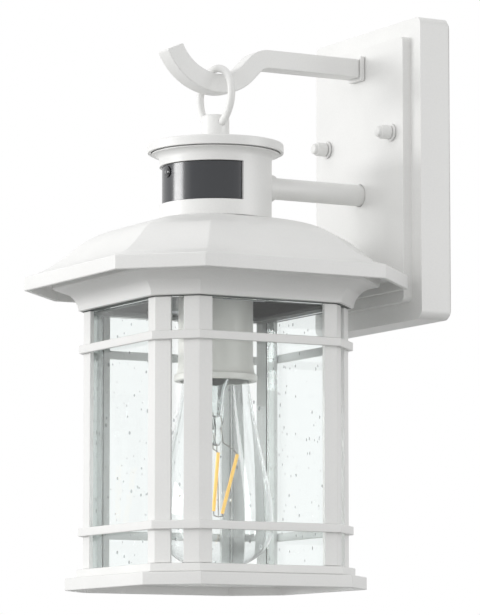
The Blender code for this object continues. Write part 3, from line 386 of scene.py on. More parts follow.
def linedMaterial(name, colour, lineColour, roughness, stretch):
    coat = {"Colour": (*colour, 1), "Line Colour": (*lineColour, 1), "Roughness": roughness}
    coat.update({"Stretch": (1, 1, stretch), "Scale": 300.0})
    return solidMaterial(name, drawnLines, coat, 0.00001, Metallic=1.0)


def glassMaterial(name, colour, edgeColour, seeds, depth):
    # clear glass that lets lamp light straight through, with more colour seen edge on
    material, tree, shader, output = newMaterial(name)
    facing = feed(tree, addNode(tree, "ShaderNodeLayerWeight"), {"Blend": 0.35}).outputs["Facing"]
    tint = mixColours(tree, facing, (*colour, 1), (*edgeColour, 1))
    node = addNode(tree, "ShaderNodeGroup", node_tree=glassSeeds)
    feed(tree, node, {**seeds, "Glass Colour": tint})
    looks = {"Base Color": node.outputs["Colour"], "Roughness": 0.0, "IOR": 1.45}
    feed(tree, shader, looks)
    shader.inputs["Transmission Weight"].default_value = 1.0
    addBump(tree, shader, node.outputs["Height"], depth)
    clear = addNode(tree, "ShaderNodeBsdfTransparent")
    feed(tree, clear, {"Color": (*colour, 1)})
    shadow = addNode(tree, "ShaderNodeLightPath").outputs["Is Shadow Ray"]
    mixShaders(tree, shadow, shader.outputs[0], clear.outputs[0], output)
    return material


paneSeeds = {
    "Seed Colour": (0.32, 0.35, 0.36, 1),
    "Seed Scale": 260.0,
    "Seed Size": 0.22,
    "Seed Share": 0.5,
    "Wave Scale": 22.0,
    "Wave Height": 0.8,
}
bulbSeeds = {
    "Seed Colour": (0.9, 0.92, 0.92, 1),
    "Seed Scale": 60.0,
    "Seed Size": 0.02,
    "Seed Share": 0.05,
    "Wave Scale": 18.0,
    "Wave Height": 0.4,
}
# colour, roughness, bump depth, grain scale and change of tone
grained = {
    "whitePaint": ((0.78, 0.78, 0.768), 0.42, 0.00005, 950.0, 0.042, 0.05),
    "palePhenolic": ((0.87, 0.865, 0.82), 0.38, 0.00002, 500.0, 0.03),
    "foamRubber": ((0.74, 0.74, 0.73), 0.92, 0.00035, 1500.0, 0.18),
    # painted shade: a dark grey for the faces inside the roof and crown, where shade falls
    "paintedInnerShade": ((0.17, 0.18, 0.172), 0.6, 0.00003, 700.0, 0.06),
    "groundGreen": ((0.03, 0.26, 0.09), 0.35, 0.00002, 800.0, 0.05),
    "leadSheath": ((0.022, 0.022, 0.023), 0.5, 0.00003, 1200.0, 0.08),
    "boardGreen": ((0.015, 0.13, 0.055), 0.35, 0.00004, 420.0, 0.10),
    "sensorLens": ((0.020, 0.022, 0.027), 0.22, 0.00001, 160.0, 0.03, 0.03),
    "photocellLens": ((0.010, 0.010, 0.012), 0.10, 0.00001, 300.0, 0.03, 0.02),
    # the sleeve's yellow is its own colour; the emission given below is a painted glow
    "filamentSleeveGlow": ((1.0, 0.62, 0.12), 0.45, 0.00002, 900.0, 0.10),
}
# colour, line colour, roughness and how much finer the lines are along Z
lined = {
    "zincPlate": ((0.70, 0.71, 0.72), (0.52, 0.54, 0.57), 0.30, 1),
    "brassTurned": ((0.80, 0.60, 0.30), (0.62, 0.44, 0.20), 0.24, 14),
    "capMetal": ((0.82, 0.82, 0.80), (0.62, 0.62, 0.62), 0.22, 10),
    "leadWire": ((0.42, 0.40, 0.37), (0.24, 0.23, 0.21), 0.30, 4),
}
# colour, colour seen edge on, seeds and bump depth
glasses = {
    "stemGlass": ((0.96, 0.985, 0.98), (0.60, 0.69, 0.69), bulbSeeds, 0.00004),
    "paneGlass": ((0.988, 0.994, 0.991), (0.80, 0.90, 0.89), paneSeeds, 0.00022),
    "bulbGlass": ((0.99, 0.998, 0.996), (0.88, 0.92, 0.92), bulbSeeds, 0.00012),
}
shine = {
    "sensorLens": {"IOR": 1.62},
    "photocellLens": {"Coat_Weight": 0.6},
    # the yellow phosphor sleeve of a filament that is off; its emission is a painted glow, as the
    # filament gives no light here
    "filamentSleeveGlow": {"Emission_Color": (1.0, 0.60, 0.12, 1), "Emission_Strength": 0.40},
}
finishes = {}
for name, values in grained.items():
    finishes[name] = grainedMaterial(name, *values, **shine.get(name, {}))
for name, values in lined.items():
    finishes[name] = linedMaterial(name, *values)
for name, values in glasses.items():
    finishes[name] = glassMaterial(name, *values)

slotFinish = {
    "white_paint": "whitePaint",
    "zinc_steel": "zincPlate",
    "brass": "brassTurned",
    "foam_rubber": "foamRubber",
    "seeded_glass": "paneGlass",
    "bulb_glass": "bulbGlass",
    "sensor_lens": "sensorLens",
    "photocell_lens": "photocellLens",
    "circuit_board": "boardGreen",
    "ground_green": "groundGreen",
    "socket_phenolic": "palePhenolic",
    "lead_sheath": "leadSheath",
    "bulb_cap_metal": "capMetal",
    "filament_glass": "stemGlass",
}
slotOfNode = {part["node"]: part["material_slot"] for part in frame["record"]["subparts"]}
for node, piece in nodes.items():
    finish = finishes[slotFinish[slotOfNode[node]]]
    if not piece.data.materials:
        piece.data.materials.append(finish)
    for index in range(len(piece.data.materials)):
        piece.data.materials[index] = finish
print("materials ready")


# modelling helpers


def clearSelection():
    if bpy.context.object and bpy.context.object.mode == "EDIT":
        bpy.ops.object.mode_set(mode="OBJECT")
    bpy.ops.object.select_all(action="DESELECT")


def activate(piece):
    clearSelection()
    piece.select_set(True)
    bpy.context.view_layer.objects.active = piece


def startPiece(name):
    # puts a new primitive's place into its mesh and opens it
    piece = bpy.context.object
    piece.name = piece.data.name = name
    bpy.ops.object.transform_apply(location=True, rotation=True, scale=True)
    bpy.ops.object.mode_set(mode="EDIT")
    bpy.ops.mesh.select_mode(type="VERT")
    return piece


def startBlock(name, place, size):
    clearSelection()
    bpy.ops.mesh.primitive_cube_add(size=1, location=place, scale=size)
    return startPiece(name)


def middleOf(part):
    if isinstance(part, bmesh.types.BMVert):
        return part.co
    if isinstance(part, bmesh.types.BMEdge):
        return (part.verts[0].co + part.verts[1].co) / 2
    return part.calc_center_median()


def wayOf(part):
    if isinstance(part, bmesh.types.BMEdge):
        return (part.verts[1].co - part.verts[0].co).normalized()
    return part.normal


def pick(kind, test, among=None):
    # selects by place and by normal (or an edge's direction)
    bpy.ops.mesh.select_mode(type=kind)
    bpy.ops.mesh.select_all(action="DESELECT")
    shape = bmesh.from_edit_mesh(bpy.context.object.data)
    parts = {"VERT": shape.verts, "EDGE": shape.edges, "FACE": shape.faces}[kind]
    parts.ensure_lookup_table()
    if among is not None:
        parts = [parts[index] for index in among]
    for part in parts:
        if test(middleOf(part), wayOf(part)):
            part.select_set(True)
    if kind == "VERT":
        shape.select_flush(True)
    bmesh.update_edit_mesh(bpy.context.object.data)


def pickedVerts():
    shape = bmesh.from_edit_mesh(bpy.context.object.data)
    shape.verts.index_update()
    return [vert.index for vert in shape.verts if vert.select]


def resize(factors, centre):
    bpy.ops.transform.resize(value=factors, center_override=centre)


def extrude(offset):
    bpy.ops.mesh.extrude_region_move(TRANSFORM_OT_translate={"value": offset})


def extrudeEdges(offset):
    bpy.ops.mesh.extrude_edges_move(TRANSFORM_OT_translate={"value": offset})


def roundEdges(radius, segments, test=lambda place: True):
    # rounds the edges that run along Y
    pick("EDGE", lambda place, way: abs(way.y) > 0.9 and test(place))
    bpy.ops.mesh.bevel(offset=radius, segments=segments, affect="EDGES")


def turnOver(piece):
    activate(piece)
    bpy.ops.object.mode_set(mode="EDIT")
    bpy.ops.mesh.select_all(action="SELECT")
    bpy.ops.mesh.flip_normals()
    bpy.ops.object.mode_set(mode="OBJECT")


def startLine(name, points, closed=True):
    # a chain of edges through the points
    clearSelection()
    bpy.ops.mesh.primitive_plane_add(size=0.001, location=points[0])
    piece = startPiece(name)
    bpy.ops.mesh.merge(type="CENTER")
    for last, point in zip(points, points[1:]):
        step = {"value": Vector(point) - Vector(last)}
        bpy.ops.mesh.extrude_vertices_move(TRANSFORM_OT_translate=step)
    if closed:
        ends = (Vector(points[0]), Vector(points[-1]))
        near = 0.0000005
        pick("VERT", lambda place, way: min((place - end).length for end in ends) < near)
        bpy.ops.mesh.edge_face_add()
    bpy.ops.mesh.select_all(action="SELECT")
    return piece


def arc(centre, radius, start, end, steps):
    # points of an arc in the profile's plane, in degrees
    points = []
    for step in range(steps + 1):
        angle = math.radians(start + (end - start) * step / steps)
        across, up = radius * math.cos(angle), radius * math.sin(angle)
        points.append((centre[0] + across, centre[1] + up))
    return points


def curveThrough(a, b, c, d, steps):
    # points of a smooth curve with two handles, without its first one
    points = []
    for step in range(1, steps + 1):
        t = step / steps
        s = 1 - t
        weights = (s**3, 3 * s * s * t, 3 * s * t * t, t**3)
        points.append(tuple(sum(w * p[i] for w, p in zip(weights, (a, b, c, d))) for i in (0, 1)))
    return points


def turned(name, profile, steps=64, axis="Z", centre=(0, axisY, 0)):
    # spins a closed profile of (radius, height along the axis) into a ring-like solid
    x, y, z = centre
    if axis == "Z":
        points, along = [(x + r, y, z + h) for r, h in profile], (0, 0, 1)
    elif axis == "Y":
        points, along = [(x + r, y + h, z) for r, h in profile], (0, 1, 0)
    else:
        points, along = [(x + h, y, z + r) for r, h in profile], (1, 0, 0)
    piece = startLine(name, points)
    bpy.ops.mesh.spin(steps=steps, angle=2 * math.pi, center=centre, axis=along)
    return piece


def modify(piece, kind, **values):
    modifier = piece.modifiers.new(kind.lower(), kind)
    for label, value in values.items():
        setattr(modifier, label, value)
    bpy.ops.object.modifier_apply(modifier=modifier.name)


def thicken(piece, wall):
    modify(piece, "SOLIDIFY", thickness=wall, offset=-1, use_even_offset=True)


def closeMesh():
    bpy.ops.mesh.select_all(action="SELECT")
    bpy.ops.mesh.remove_doubles(threshold=0.000002)
    bpy.ops.mesh.delete_loose(use_verts=True, use_edges=True, use_faces=False)
    bpy.ops.mesh.select_all(action="SELECT")
    bpy.ops.mesh.normals_make_consistent(inside=False)
    bpy.ops.object.mode_set(mode="OBJECT")


def cutAway(piece, makeCutter):
    # takes a closed cutter out of a finished mesh
    closeMesh()
    cutter = makeCutter()
    if cutter.mode == "EDIT":
        closeMesh()
    activate(piece)
    modify(piece, "BOOLEAN", operation="DIFFERENCE", solver="EXACT", object=cutter)
    bpy.data.objects.remove(cutter, do_unlink=True)
    bpy.ops.object.mode_set(mode="EDIT")


def bore(piece, radius, length, axis, centre, steps=48):
    half = length / 2
    profile = [(0, -half), (radius, -half), (radius, half), (0, half)]
    cutAway(piece, lambda: turned("boreCutter", profile, steps, axis, centre))


def finishPiece(piece, node, edge=0.0004, segments=2, edgeAngle=32, body=wallBody, **given):
    # softens the edges, smooths what is meant to be round and hangs the piece on its body
    slot = given.get("slot") or slotOfNode[node]
    finish = finishes[given.get("finish") or slotFinish[slot]]
    smoothAngle, edgeWeight = 48, 50
    if piece.mode == "EDIT":
        closeMesh()
    activate(piece)
    bpy.ops.object.shade_smooth()
    if edge:
        limit = {"limit_method": "ANGLE", "angle_limit": math.radians(edgeAngle)}
        modify(piece, "BEVEL", width=edge, segments=segments, use_clamp_overlap=True, **limit)
    bpy.ops.object.shade_smooth_by_angle(angle=math.radians(smoothAngle))
    modify(piece, "WEIGHTED_NORMAL", keep_sharp=True, weight=edgeWeight)
    piece.data.materials.clear()
    piece.data.materials.append(finish)
    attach(piece, body)
    if node:
        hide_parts(node)


def turnPiece(name, node, profile, edge, segments=2, steps=64, body=wallBody, **placed):
    piece = turned(name, profile, steps, **placed)
    finishPiece(piece, node, edge, segments, body=body)


def paintShadeInside(piece, test):
    # paints the faces that look into the lantern dark grey as painted shade, chosen by place and
    # normal
    piece.data.materials.append(finishes["paintedInnerShade"])
    for side in piece.data.polygons:
        outward = Vector((side.center.x, side.center.y - axisY, 0)).normalized()
        if test(side.center, side.normal, side.normal.dot(outward)):
            side.material_index = 1


def copyOf(piece, name, turn=0.0, mirrored=False):
    # a copy with its own mesh, mirrored across the lantern's middle or turned round its axis
    activate(piece)
    bpy.ops.object.duplicate(linked=False)
    made = bpy.context.object
    made.name = made.data.name = name
    bpy.ops.object.mode_set(mode="EDIT")
    bpy.ops.mesh.select_all(action="SELECT")
    middle = (0, axisY, 0)
    if mirrored:
        resize((-1, 1, 1), middle)
        bpy.ops.mesh.flip_normals()
    if turn:
        # with no window the turn runs the other way round
        angle = -math.radians(turn)
        bpy.ops.transform.rotate(value=angle, orient_axis="Z", center_override=middle)
    return made


cage = {
    "face": highOf("post_right_front").x,  # axis to the outside of a wide side
    "bottom": lowOf("post_front_left").z,
    "top": highOf("post_front_left").z,
    "wideShare": 0.7054,  # half a wide side's edge, as a share of the face distance
}
cage["flat"] = cage["wideShare"] * cage["face"]


def flatAt(face):
    return cage["flat"] + (face - cage["face"]) * math.tan(octagonTurn)


def octagonRun(name, stations):
    # runs an eight-sided loop through stations of (face distance, half a wide edge, height)
    clearSelection()
    low = stations[0][2]
    place, turn = (0, axisY, low), (0, 0, octagonTurn)
    bpy.ops.mesh.primitive_circle_add(vertices=8, radius=1, location=place, rotation=turn)
    piece = startPiece(name)
    bpy.ops.mesh.select_all(action="SELECT")
    last = (math.cos(octagonTurn), math.sin(octagonTurn), low)
    for index, station in enumerate(stations):
        if index:
            extrudeEdges((0, 0, station[2] - last[2]))
        loop = pickedVerts()
        middle = (0, axisY, station[2])
        grow, stretch = station[0] / last[0], station[1] / last[1]
        pick("VERT", lambda place, way: abs(place.x) > abs(place.y - axisY), loop)
        resize((grow, stretch, 1), middle)
        pick("VERT", lambda place, way: abs(place.x) < abs(place.y - axisY), loop)
        resize((stretch, grow, 1), middle)
        pick("VERT", lambda place, way: True, loop)
        last = station
    bpy.ops.mesh.select_mode(type="EDGE")
    bpy.ops.mesh.select_all(action="DESELECT")
    shape = bmesh.from_edit_mesh(piece.data)
    for side in shape.edges:
        if len(side.link_faces) == 1:
            side.select_set(True)
    bmesh.update_edit_mesh(piece.data)
    bpy.ops.mesh.bridge_edge_loops()
    return piece


def octagonBand(name, line):
    return octagonRun(name, [(face, flatAt(face), height) for face, height in line])


# roof, crown and cage

roofShape = {
    "wall": 0.0022,
    "steps": 9,
    "hipEdge": 0.0007,
    "fascia": 0.0081,
    "topFace": 0.033,
    "shadeAbove": 0.0015,  # the painted shade starts this far above the crown
    "topShare": 0.5576,  # half a wide edge of the flat top, as a share of its face distance
    "hole": 0.0065,
}
# the ogee's two curves, as shares of the way in from the eave and of the rise
roofCurves = (
    ((0, 0), (0.16, 0.075), (0.28, 0.28), (0.40, 0.51)),
    ((0.40, 0.51), (0.52, 0.74), (0.65, 0.86), (1, 1)),
)
facesIn = -0.2  # a face whose outward share is less than this looks into the lantern
roofLow, roofTop = heightsOf("roof")
eaveFace = highOf("roof").x
eaveHeight = roofLow + roofShape["fascia"]


def roofLine(depth):
    # the ogee from the eave up to the flat top, moved inward by the sheet's thickness
    rise, run = roofTop - eaveHeight, eaveFace - roofShape["topFace"]
    line = [(eaveFace, eaveHeight)]
    for curve in roofCurves:
        points = [(eaveFace - across * run, eaveHeight + up * rise) for across, up in curve]
        line += curveThrough(*points, roofShape["steps"])
    moved = []
    for index, (face, height) in enumerate(line):
        before, after = line[max(index - 1, 0)], line[min(index + 1, len(line) - 1)]
        slope = math.atan2(after[1] - before[1], before[0] - after[0])
        moved.append((face - depth * math.sin(slope), height - depth * math.cos(slope)))
    return moved


def roofFlat(face):
    topFace = roofShape["topFace"]
    top = roofShape["topShare"] * topFace
    return top + (flatAt(eaveFace) - top) * (face - topFace) / (eaveFace - topFace)


def makeRoof():
    wall, hole = roofShape["wall"], roofShape["hole"]
    innerEave = eaveFace - wall
    outer = [(eaveFace, roofLow), *roofLine(0)]
    inner = [point for point in reversed(roofLine(wall)) if point[0] < innerEave - 0.0002]
    inner += [(innerEave, inner[-1][1] - gap), (innerEave, roofLow)]
    stations = [(face, roofFlat(face), height) for face, height in outer]
    for height in (roofTop, roofTop - wall):
        stations.append((hole, hole * math.tan(octagonTurn), height))
    stations += [(face, roofFlat(face), height) for face, height in inner]
    piece = octagonRun("roofSheet", stations)
    finishPiece(piece, "roof", roofShape["hipEdge"], 3, edgeAngle=20)
    # painted shade on the roof's faces inside the lantern, above the crown
    shadeLow = highOf("crown").z + roofShape["shadeAbove"]
    paintShadeInside(piece, lambda place, way, out: place.z > shadeLow and (out < facesIn or way.z < -0.4))


crownShape = {
    "cove": 0.0136,
    "coveBelow": 0.0012,
    "lip": 0.0009,
    "wall": 0.0018,
    "foot": 0.0028,  # beyond the cage's wide side
    "opening": 0.0128,  # within it
    "edge": 0.0003,
    "steps": 14,
    "screwBore": 0.0026,
    "screwDepth": 0.0156,
}


def makeCrown():
    wall, cove = crownShape["wall"], crownShape["cove"]
    head, (low, top) = highOf("crown").x, heightsOf("crown")
    foot, opening = cage["face"] + crownShape["foot"], cage["face"] - crownShape["opening"]
    centre = (foot + cove, low - crownShape["coveBelow"])
    front = arc(centre, cove, 173, 90, crownShape["steps"])
    back = arc(centre, cove + wall, 97, 173, crownShape["steps"])
    back = [point for point in back if point[1] > low + wall]
    step = front[-1][1] + crownShape["lip"]
    line = [(opening, low), (foot - 0.001, low), *front, (head, step), (head, top)]
    line += [(head - wall, top), (head - wall, step + wall), *back]
    line += [(foot - wall, low + wall), (opening, low + wall)]
    piece = octagonBand("coveMoulding", line)
    for side in (-1, 1):
        place = (side * head, axisY, crownScrewHeight)
        bore(piece, crownShape["screwBore"], crownShape["screwDepth"], "X", place)
    finishPiece(piece, "crown", crownShape["edge"])
    diagonal = math.sqrt(0.5)

    def inside(place, way, out):
        across, deep = abs(place.x), abs(place.y - axisY)
        narrow = (across + deep) * diagonal < (cage["face"] + cage["flat"]) * diagonal
        within = max(across, deep) < cage["face"] - 0.0005 and narrow
        return within or out < facesIn or (way.z > 0.4 and place.z < top - 0.002 and out < 0.2)

    # painted shade on the crown's faces inside the cage and on those looking into the lantern
    paintShadeInside(piece, inside)


def makeCrownScrews():
    # pan head with a slot, modelled once on the right and copied to the left
    inner, outer = lowOf("crown_screw_right").x, highOf("crown_screw_right").x
    shank, head, face = 0.0022, 0.0028, outer - 0.0016
    profile = [(0, inner), (0.0020, inner), (shank, inner + 0.0004), (shank, face), (head, face)]
    profile += [(head, face + 0.0006), (0.0026, face + 0.0011), (0.0020, face + 0.00145)]
    profile += [(0.0010, outer), (0, outer)]
    piece = turned("crownScrewRight", profile, 32, "X", (0, axisY, crownScrewHeight))
    place, slotSize = (outer, axisY, crownScrewHeight), (0.0016, 0.0008, 0.008)
    cutAway(piece, lambda: startBlock("slotCutter", place, slotSize))
    finishPiece(piece, "crown_screw_right", 0.00012, 1)
    copy = copyOf(piece, "crownScrewLeft", mirrored=True)
    finishPiece(copy, "crown_screw_left", 0)


postShape = {"wall": 0.0026, "wideArm": 0.0082, "narrowArm": 0.0094}


def makePosts():
    # one bent strip, copied to the other seven corners
    face, flat, low = cage["face"], cage["flat"], cage["bottom"]
    slant = postShape["narrowArm"] * math.sqrt(0.5)
    corner = (-flat, axisY - face, low)
    wideEnd = (-flat + postShape["wideArm"], axisY - face, low)
    narrowEnd = (-flat - slant, axisY - face + slant, low)
    piece = startLine("postFrontLeft", [wideEnd, corner, narrowEnd], closed=False)
    extrudeEdges((0, 0, cage["top"] - low))
    closeMesh()
    if sum(side.normal.y * side.area for side in piece.data.polygons) > 0:
        turnOver(piece)  # the sheet's outside looks away from the axis
    thicken(piece, postShape["wall"])
    mirrored = copyOf(piece, "postFrontRight", mirrored=True)
    bpy.ops.object.mode_set(mode="OBJECT")
    posts = {"post_front_left": piece, "post_front_right": mirrored}
    around = ("front", "right", "rear", "left")
    for step in (1, 2, 3):
        neighbours = (around[step - 1], around[(step + 1) % 4])
        for source, beside in zip((piece, mirrored), neighbours):
            side = around[step]
            name = "post" + side.capitalize() + beside.capitalize()
            posts["post_" + side + "_" + beside] = copyOf(source, name, 90 * step)
            bpy.ops.object.mode_set(mode="OBJECT")
    for node, post in posts.items():
        finishPiece(post, node)


bandEdge = 0.0005
# node, and where its inner and outer faces lie from the cage's wide side
bands = {
    "railUpper": ("upper_rail", gap, 0.0026),
    "railLower": ("lower_rail", gap, 0.0026),
    "ledge": ("base_ledge", -0.0083, 0.0035),
}
skirtShape = {"inner": -0.0053, "outer": 0.0095, "wall": 0.0025}


def makeBands():
    for name, (node, inward, outward) in bands.items():
        inner, outer = cage["face"] + inward, cage["face"] + outward
        low, high = heightsOf(node)
        piece = octagonBand(name, [(inner, low), (outer, low), (outer, high), (inner, high)])
        finishPiece(piece, node, bandEdge)
    outer, inner = cage["face"] + skirtShape["outer"], cage["face"] + skirtShape["inner"]
    wall, (low, high) = skirtShape["wall"], heightsOf("base_skirt")
    line = [(outer, low), (outer, high), (inner, high), (inner, high - wall)]
    line += [(outer - wall, high - wall), (outer - wall, low)]
    piece = octagonBand("skirt", line)
    finishPiece(piece, "base_skirt", bandEdge)


makeRoof()
makeCrown()
makeCrownScrews()
makePosts()
makeBands()
print("roof, crown and cage modelled")


# sensor head

headShape = {
    "radius": 0.0326,
    "wall": 0.0024,
    "floor": 0.0022,
    "bore": 0.0053,
    "flareHeight": 0.0034,
    "flareEdge": 0.0007,
    "flareSteps": 8,
    "windowAboveFloor": 0.0089,
    "windowHeight": 0.0225,
    "openingHalfAngle": 91,
    "windowHalfAngle": 90.2,
    "windowRecess": 0.0015,
    "windowWall": 0.0014,
    "eyeBore": 0.0033,
}


def stripRing(name, radius, low, high, halfAngle, wall):
    # part of a round wall, centred on the room side
    clearSelection()
    start = math.radians(-90 - halfAngle)
    place = (radius * math.cos(start), axisY + radius * math.sin(start))
    piece = startLine(name, [(*place, low), (*place, high)], closed=False)
    # spin turns against the right-hand rule
    sweep = -math.radians(2 * halfAngle)
    bpy.ops.mesh.spin(steps=96, angle=sweep, center=(0, axisY, 0), axis=(0, 0, 1))
    closeMesh()
    total = 0
    for side in piece.data.polygons:
        outward = Vector((side.center.x, side.center.y - axisY, 0))
        total += outward.dot(side.normal) * side.area
    if total < 0:
        turnOver(piece)
    thicken(piece, wall)
    return piece


def makeHousing():
    radius, wall = headShape["radius"], headShape["wall"]
    edge, steps = headShape["flareEdge"], headShape["flareSteps"]
    low, top = heightsOf("sensor_housing")
    flare, flareTop = highOf("sensor_housing").x, lowOf("sensor_cap").z - gap
    hole, inner, floor = headShape["bore"], radius - wall, low + headShape["floor"]
    profile = [(hole, low), (radius - 0.0008, low), (radius - 0.0002, low + 0.0002)]
    profile.append((radius, low + 0.0008))
    for step in range(steps + 1):
        angle = math.pi / 2 * step / steps
        across = radius + (flare - radius) * (1 - math.cos(angle))
        drop = headShape["flareHeight"] * (1 - math.sin(angle))
        profile.append((across, flareTop - edge - drop))
    profile += [(flare, flareTop - 0.0002), (flare - 0.0002, flareTop), (radius, flareTop)]
    profile += [(radius, top), (inner, top), (inner, floor), (hole, floor)]
    piece = turned("sensorHousing", profile, 128)
    windowLow, halfAngle = low + headShape["windowAboveFloor"], headShape["openingHalfAngle"]
    window = (radius + 0.001, windowLow, windowLow + headShape["windowHeight"], halfAngle)
    cutAway(piece, lambda: stripRing("windowCutter", *window, wall + 0.002))
    bore(piece, tubeBore, 4 * wall, "Y", (0, axisY + radius - wall / 2, tubeHeight))
    finishPiece(piece, "sensor_housing", 0.00025)


def makeWindow():
    outer = headShape["radius"] - headShape["windowRecess"]
    halfAngle, wall = headShape["windowHalfAngle"], headShape["windowWall"]
    piece = stripRing("sensorWindow", outer, *heightsOf("sensor_window"), halfAngle, wall)
    bpy.ops.object.mode_set(mode="EDIT")
    eye = midOf("photocell", 2)
    bore(piece, headShape["eyeBore"], 0.006, "Y", (0, axisY - outer, eye))
    finishPiece(piece, "sensor_window", 0.0002)
    # the photocell is a small dome in a dark bezel
    front, rear, bezel = lowOf("photocell").y - axisY, highOf("photocell").y - axisY, 0.0030
    profile = [(0, rear), (bezel, rear), (bezel, front + 0.0008), (0.0027, front + 0.0004)]
    profile += [(0.0022, front + 0.0006), (0.0019, front + 0.0002), (0.0011, front + 0.00005)]
    profile.append((0, front))
    placed = {"axis": "Y", "centre": (0, axisY, eye)}
    turnPiece("photocellEye", "photocell", profile, 0.0001, steps=40, **placed)


def makeCap():
    radius, wall, rounding = highOf("sensor_cap").x, 0.002, 0.0011
    low, top = heightsOf("sensor_cap")
    inner = radius - wall
    profile = [(0, top - wall), (inner, top - wall), (inner, low), (radius, low)]
    profile += [*arc((radius - rounding, top - rounding), rounding, 0, 90, 6), (0, top)]
    turnPiece("sensorCap", "sensor_cap", profile, 0.0003, steps=128)


ringShape = {"bar": 0.00225, "halfWidth": 0.019, "widest": 0.53, "play": 0.00012}


def ringLoop(name, bar):
    # an egg-shaped loop of round bar; its lower half is a little longer than its upper one
    low = lowOf("hanging_ring").z + ringShape["bar"]
    high = highOf("hanging_ring").z - ringShape["bar"]
    widest, half = low + (high - low) * ringShape["widest"], ringShape["halfWidth"]
    middle, turn, near = (0, axisY, widest), (math.pi / 2, 0, 0), 0.000001
    clearSelection()
    bpy.ops.mesh.primitive_circle_add(vertices=96, radius=half, location=middle, rotation=turn)
    startPiece(name)
    pick("VERT", lambda place, way: place.z > widest + near)
    resize((1, 1, (high - widest) / half), middle)
    pick("VERT", lambda place, way: place.z < widest - near)
    resize((1, 1, (widest - low) / half), middle)
    return roundBar(bar, 6)


def roundBar(radius, resolution):
    # gives the open chain of edges a round section
    bpy.ops.object.mode_set(mode="OBJECT")
    bpy.ops.object.convert(target="CURVE")
    curve = bpy.context.object.data
    curve.bevel_depth, curve.bevel_resolution, curve.use_fill_caps = radius, resolution, True
    bpy.ops.object.convert(target="MESH")
    bpy.ops.object.mode_set(mode="EDIT")
    return bpy.context.object


def makeBoss():
    base, (low, top) = highOf("ring_boss").x, heightsOf("ring_boss")
    taper = 1.03
    neck = base / taper
    profile = [(0, low), (base, low), (base - 0.0001, low + 0.0006), (neck, top - 0.0009)]
    profile += [(neck - 0.0003, top - 0.0003), (neck - 0.0009, top), (0, top)]
    piece = turned("ringBoss", profile, 72)
    cutAway(piece, lambda: ringLoop("ringCutter", ringShape["bar"] + ringShape["play"]))
    finishPiece(piece, "ring_boss", 0.00025)
    ring = ringLoop("hangingRing", ringShape["bar"])
    finishPiece(ring, "hanging_ring", 0, body="ring")


makeHousing()
makeWindow()
makeCap()
makeBoss()
print("sensor head modelled")


# backplate, hook arm, tube and nuts

plateShape = {
    "depth": 0.0192,
    "corner": 0.005,
    "inset": 0.0107,
    "panelCorner": 0.003,
    "wall": 0.002,
    "edge": 0.0007,
}
nutSpread, nutHeight = midOf("cap_nut_right", 0), midOf("cap_nut_right", 2)


def makeBackplate():
    low, high = lowOf("backplate"), highOf("backplate")
    front, wall = high.y - plateShape["depth"], plateShape["wall"]
    size = (high.x - low.x, high.y - front, high.z - low.z)
    middle = (midOf("backplate", 0), (high.y + front) / 2, midOf("backplate", 2))
    piece = startBlock("backplateTray", middle, size)
    pick("FACE", lambda place, way: way.y < -0.9)
    bpy.ops.mesh.inset(thickness=plateShape["inset"], depth=0)
    extrude((0, low.y - front, 0))
    roundEdges(plateShape["corner"], 8, lambda place: place.y > front)
    roundEdges(plateShape["panelCorner"], 6, lambda place: place.y < front)
    pick("FACE", lambda place, way: way.y > 0.9)
    bpy.ops.mesh.delete(type="FACE")
    closeMesh()
    thicken(piece, wall)
    bpy.ops.object.mode_set(mode="EDIT")
    holes = [(-nutSpread, nutHeight, nutBore), (nutSpread, nutHeight, nutBore)]
    holes += [(0, armHeight, armScrewBore), (0, tubeHeight, tubeBore)]
    for x, z, radius in holes:
        bore(piece, radius, 4 * wall, "Y", (x, low.y + wall / 2, z))
    finishPiece(piece, "backplate", plateShape["edge"], 3)


armShape = {
    "width": 0.0126,
    "height": 0.0111,
    "hump": 0.013,
    "rise": 0.025,
    "bowl": 0.0326,
    "riseSweep": 46.5,
    "riseStraight": 0.0072,
    "bowlSweep": 66,
    "edge": 0.0008,
    "flangeEdge": 0.0005,
}


def makeArm():
    # a square bar drawn out of the flange, over a hump, down and round into the bowl
    sweep, straight = math.radians(armShape["riseSweep"]), armShape["riseStraight"]
    hump, rise, bowl = armShape["hump"], armShape["rise"], armShape["bowl"]
    start = highOf("hook_arm").y
    humpY = axisY + (hump + rise) * math.sin(sweep) + straight * math.cos(sweep)
    drop = (hump + rise) * (1 - math.cos(sweep)) + straight * math.sin(sweep)
    lowest = armHeight - drop
    root, turn = (0, start, armHeight), (math.pi / 2, 0, 0)
    clearSelection()
    bpy.ops.mesh.primitive_plane_add(size=1, location=root, rotation=turn)
    piece = startPiece("hookBar")
    resize((armShape["width"], 1, armShape["height"]), root)
    bpy.ops.mesh.select_mode(type="EDGE")
    bpy.ops.mesh.delete(type="ONLY_FACE")
    bpy.ops.mesh.select_all(action="SELECT")
    bpy.ops.mesh.edge_face_add()
    extrude((0, humpY - start, 0))
    down, up = (-1, 0, 0), (1, 0, 0)
    bpy.ops.mesh.spin(steps=12, angle=sweep, center=(0, humpY, armHeight - hump), axis=down)
    extrude(Vector((0, -math.cos(sweep), -math.sin(sweep))) * straight)
    bpy.ops.mesh.spin(steps=14, angle=sweep, center=(0, axisY, lowest + rise), axis=up)
    sweep = math.radians(armShape["bowlSweep"])
    bpy.ops.mesh.spin(steps=24, angle=sweep, center=(0, axisY, lowest + bowl), axis=up)
    bore(piece, armScrewBore, 0.02, "Y", root)
    finishPiece(piece, "hook_arm", armShape["edge"], 3)
    low, high = lowOf("hook_flange"), highOf("hook_flange")
    piece = startBlock("hookFlange", (low + high) / 2, high - low)
    roundEdges(armShape["edge"], 3)
    bore(piece, armScrewBore, 0.02, "Y", (0, high.y, armHeight))
    finishPiece(piece, "hook_flange", armShape["flangeEdge"], 3)


tubeShape = {"radius": 0.00635, "wall": 0.0012, "collar": 0.0078, "collarPlay": 0.0004}


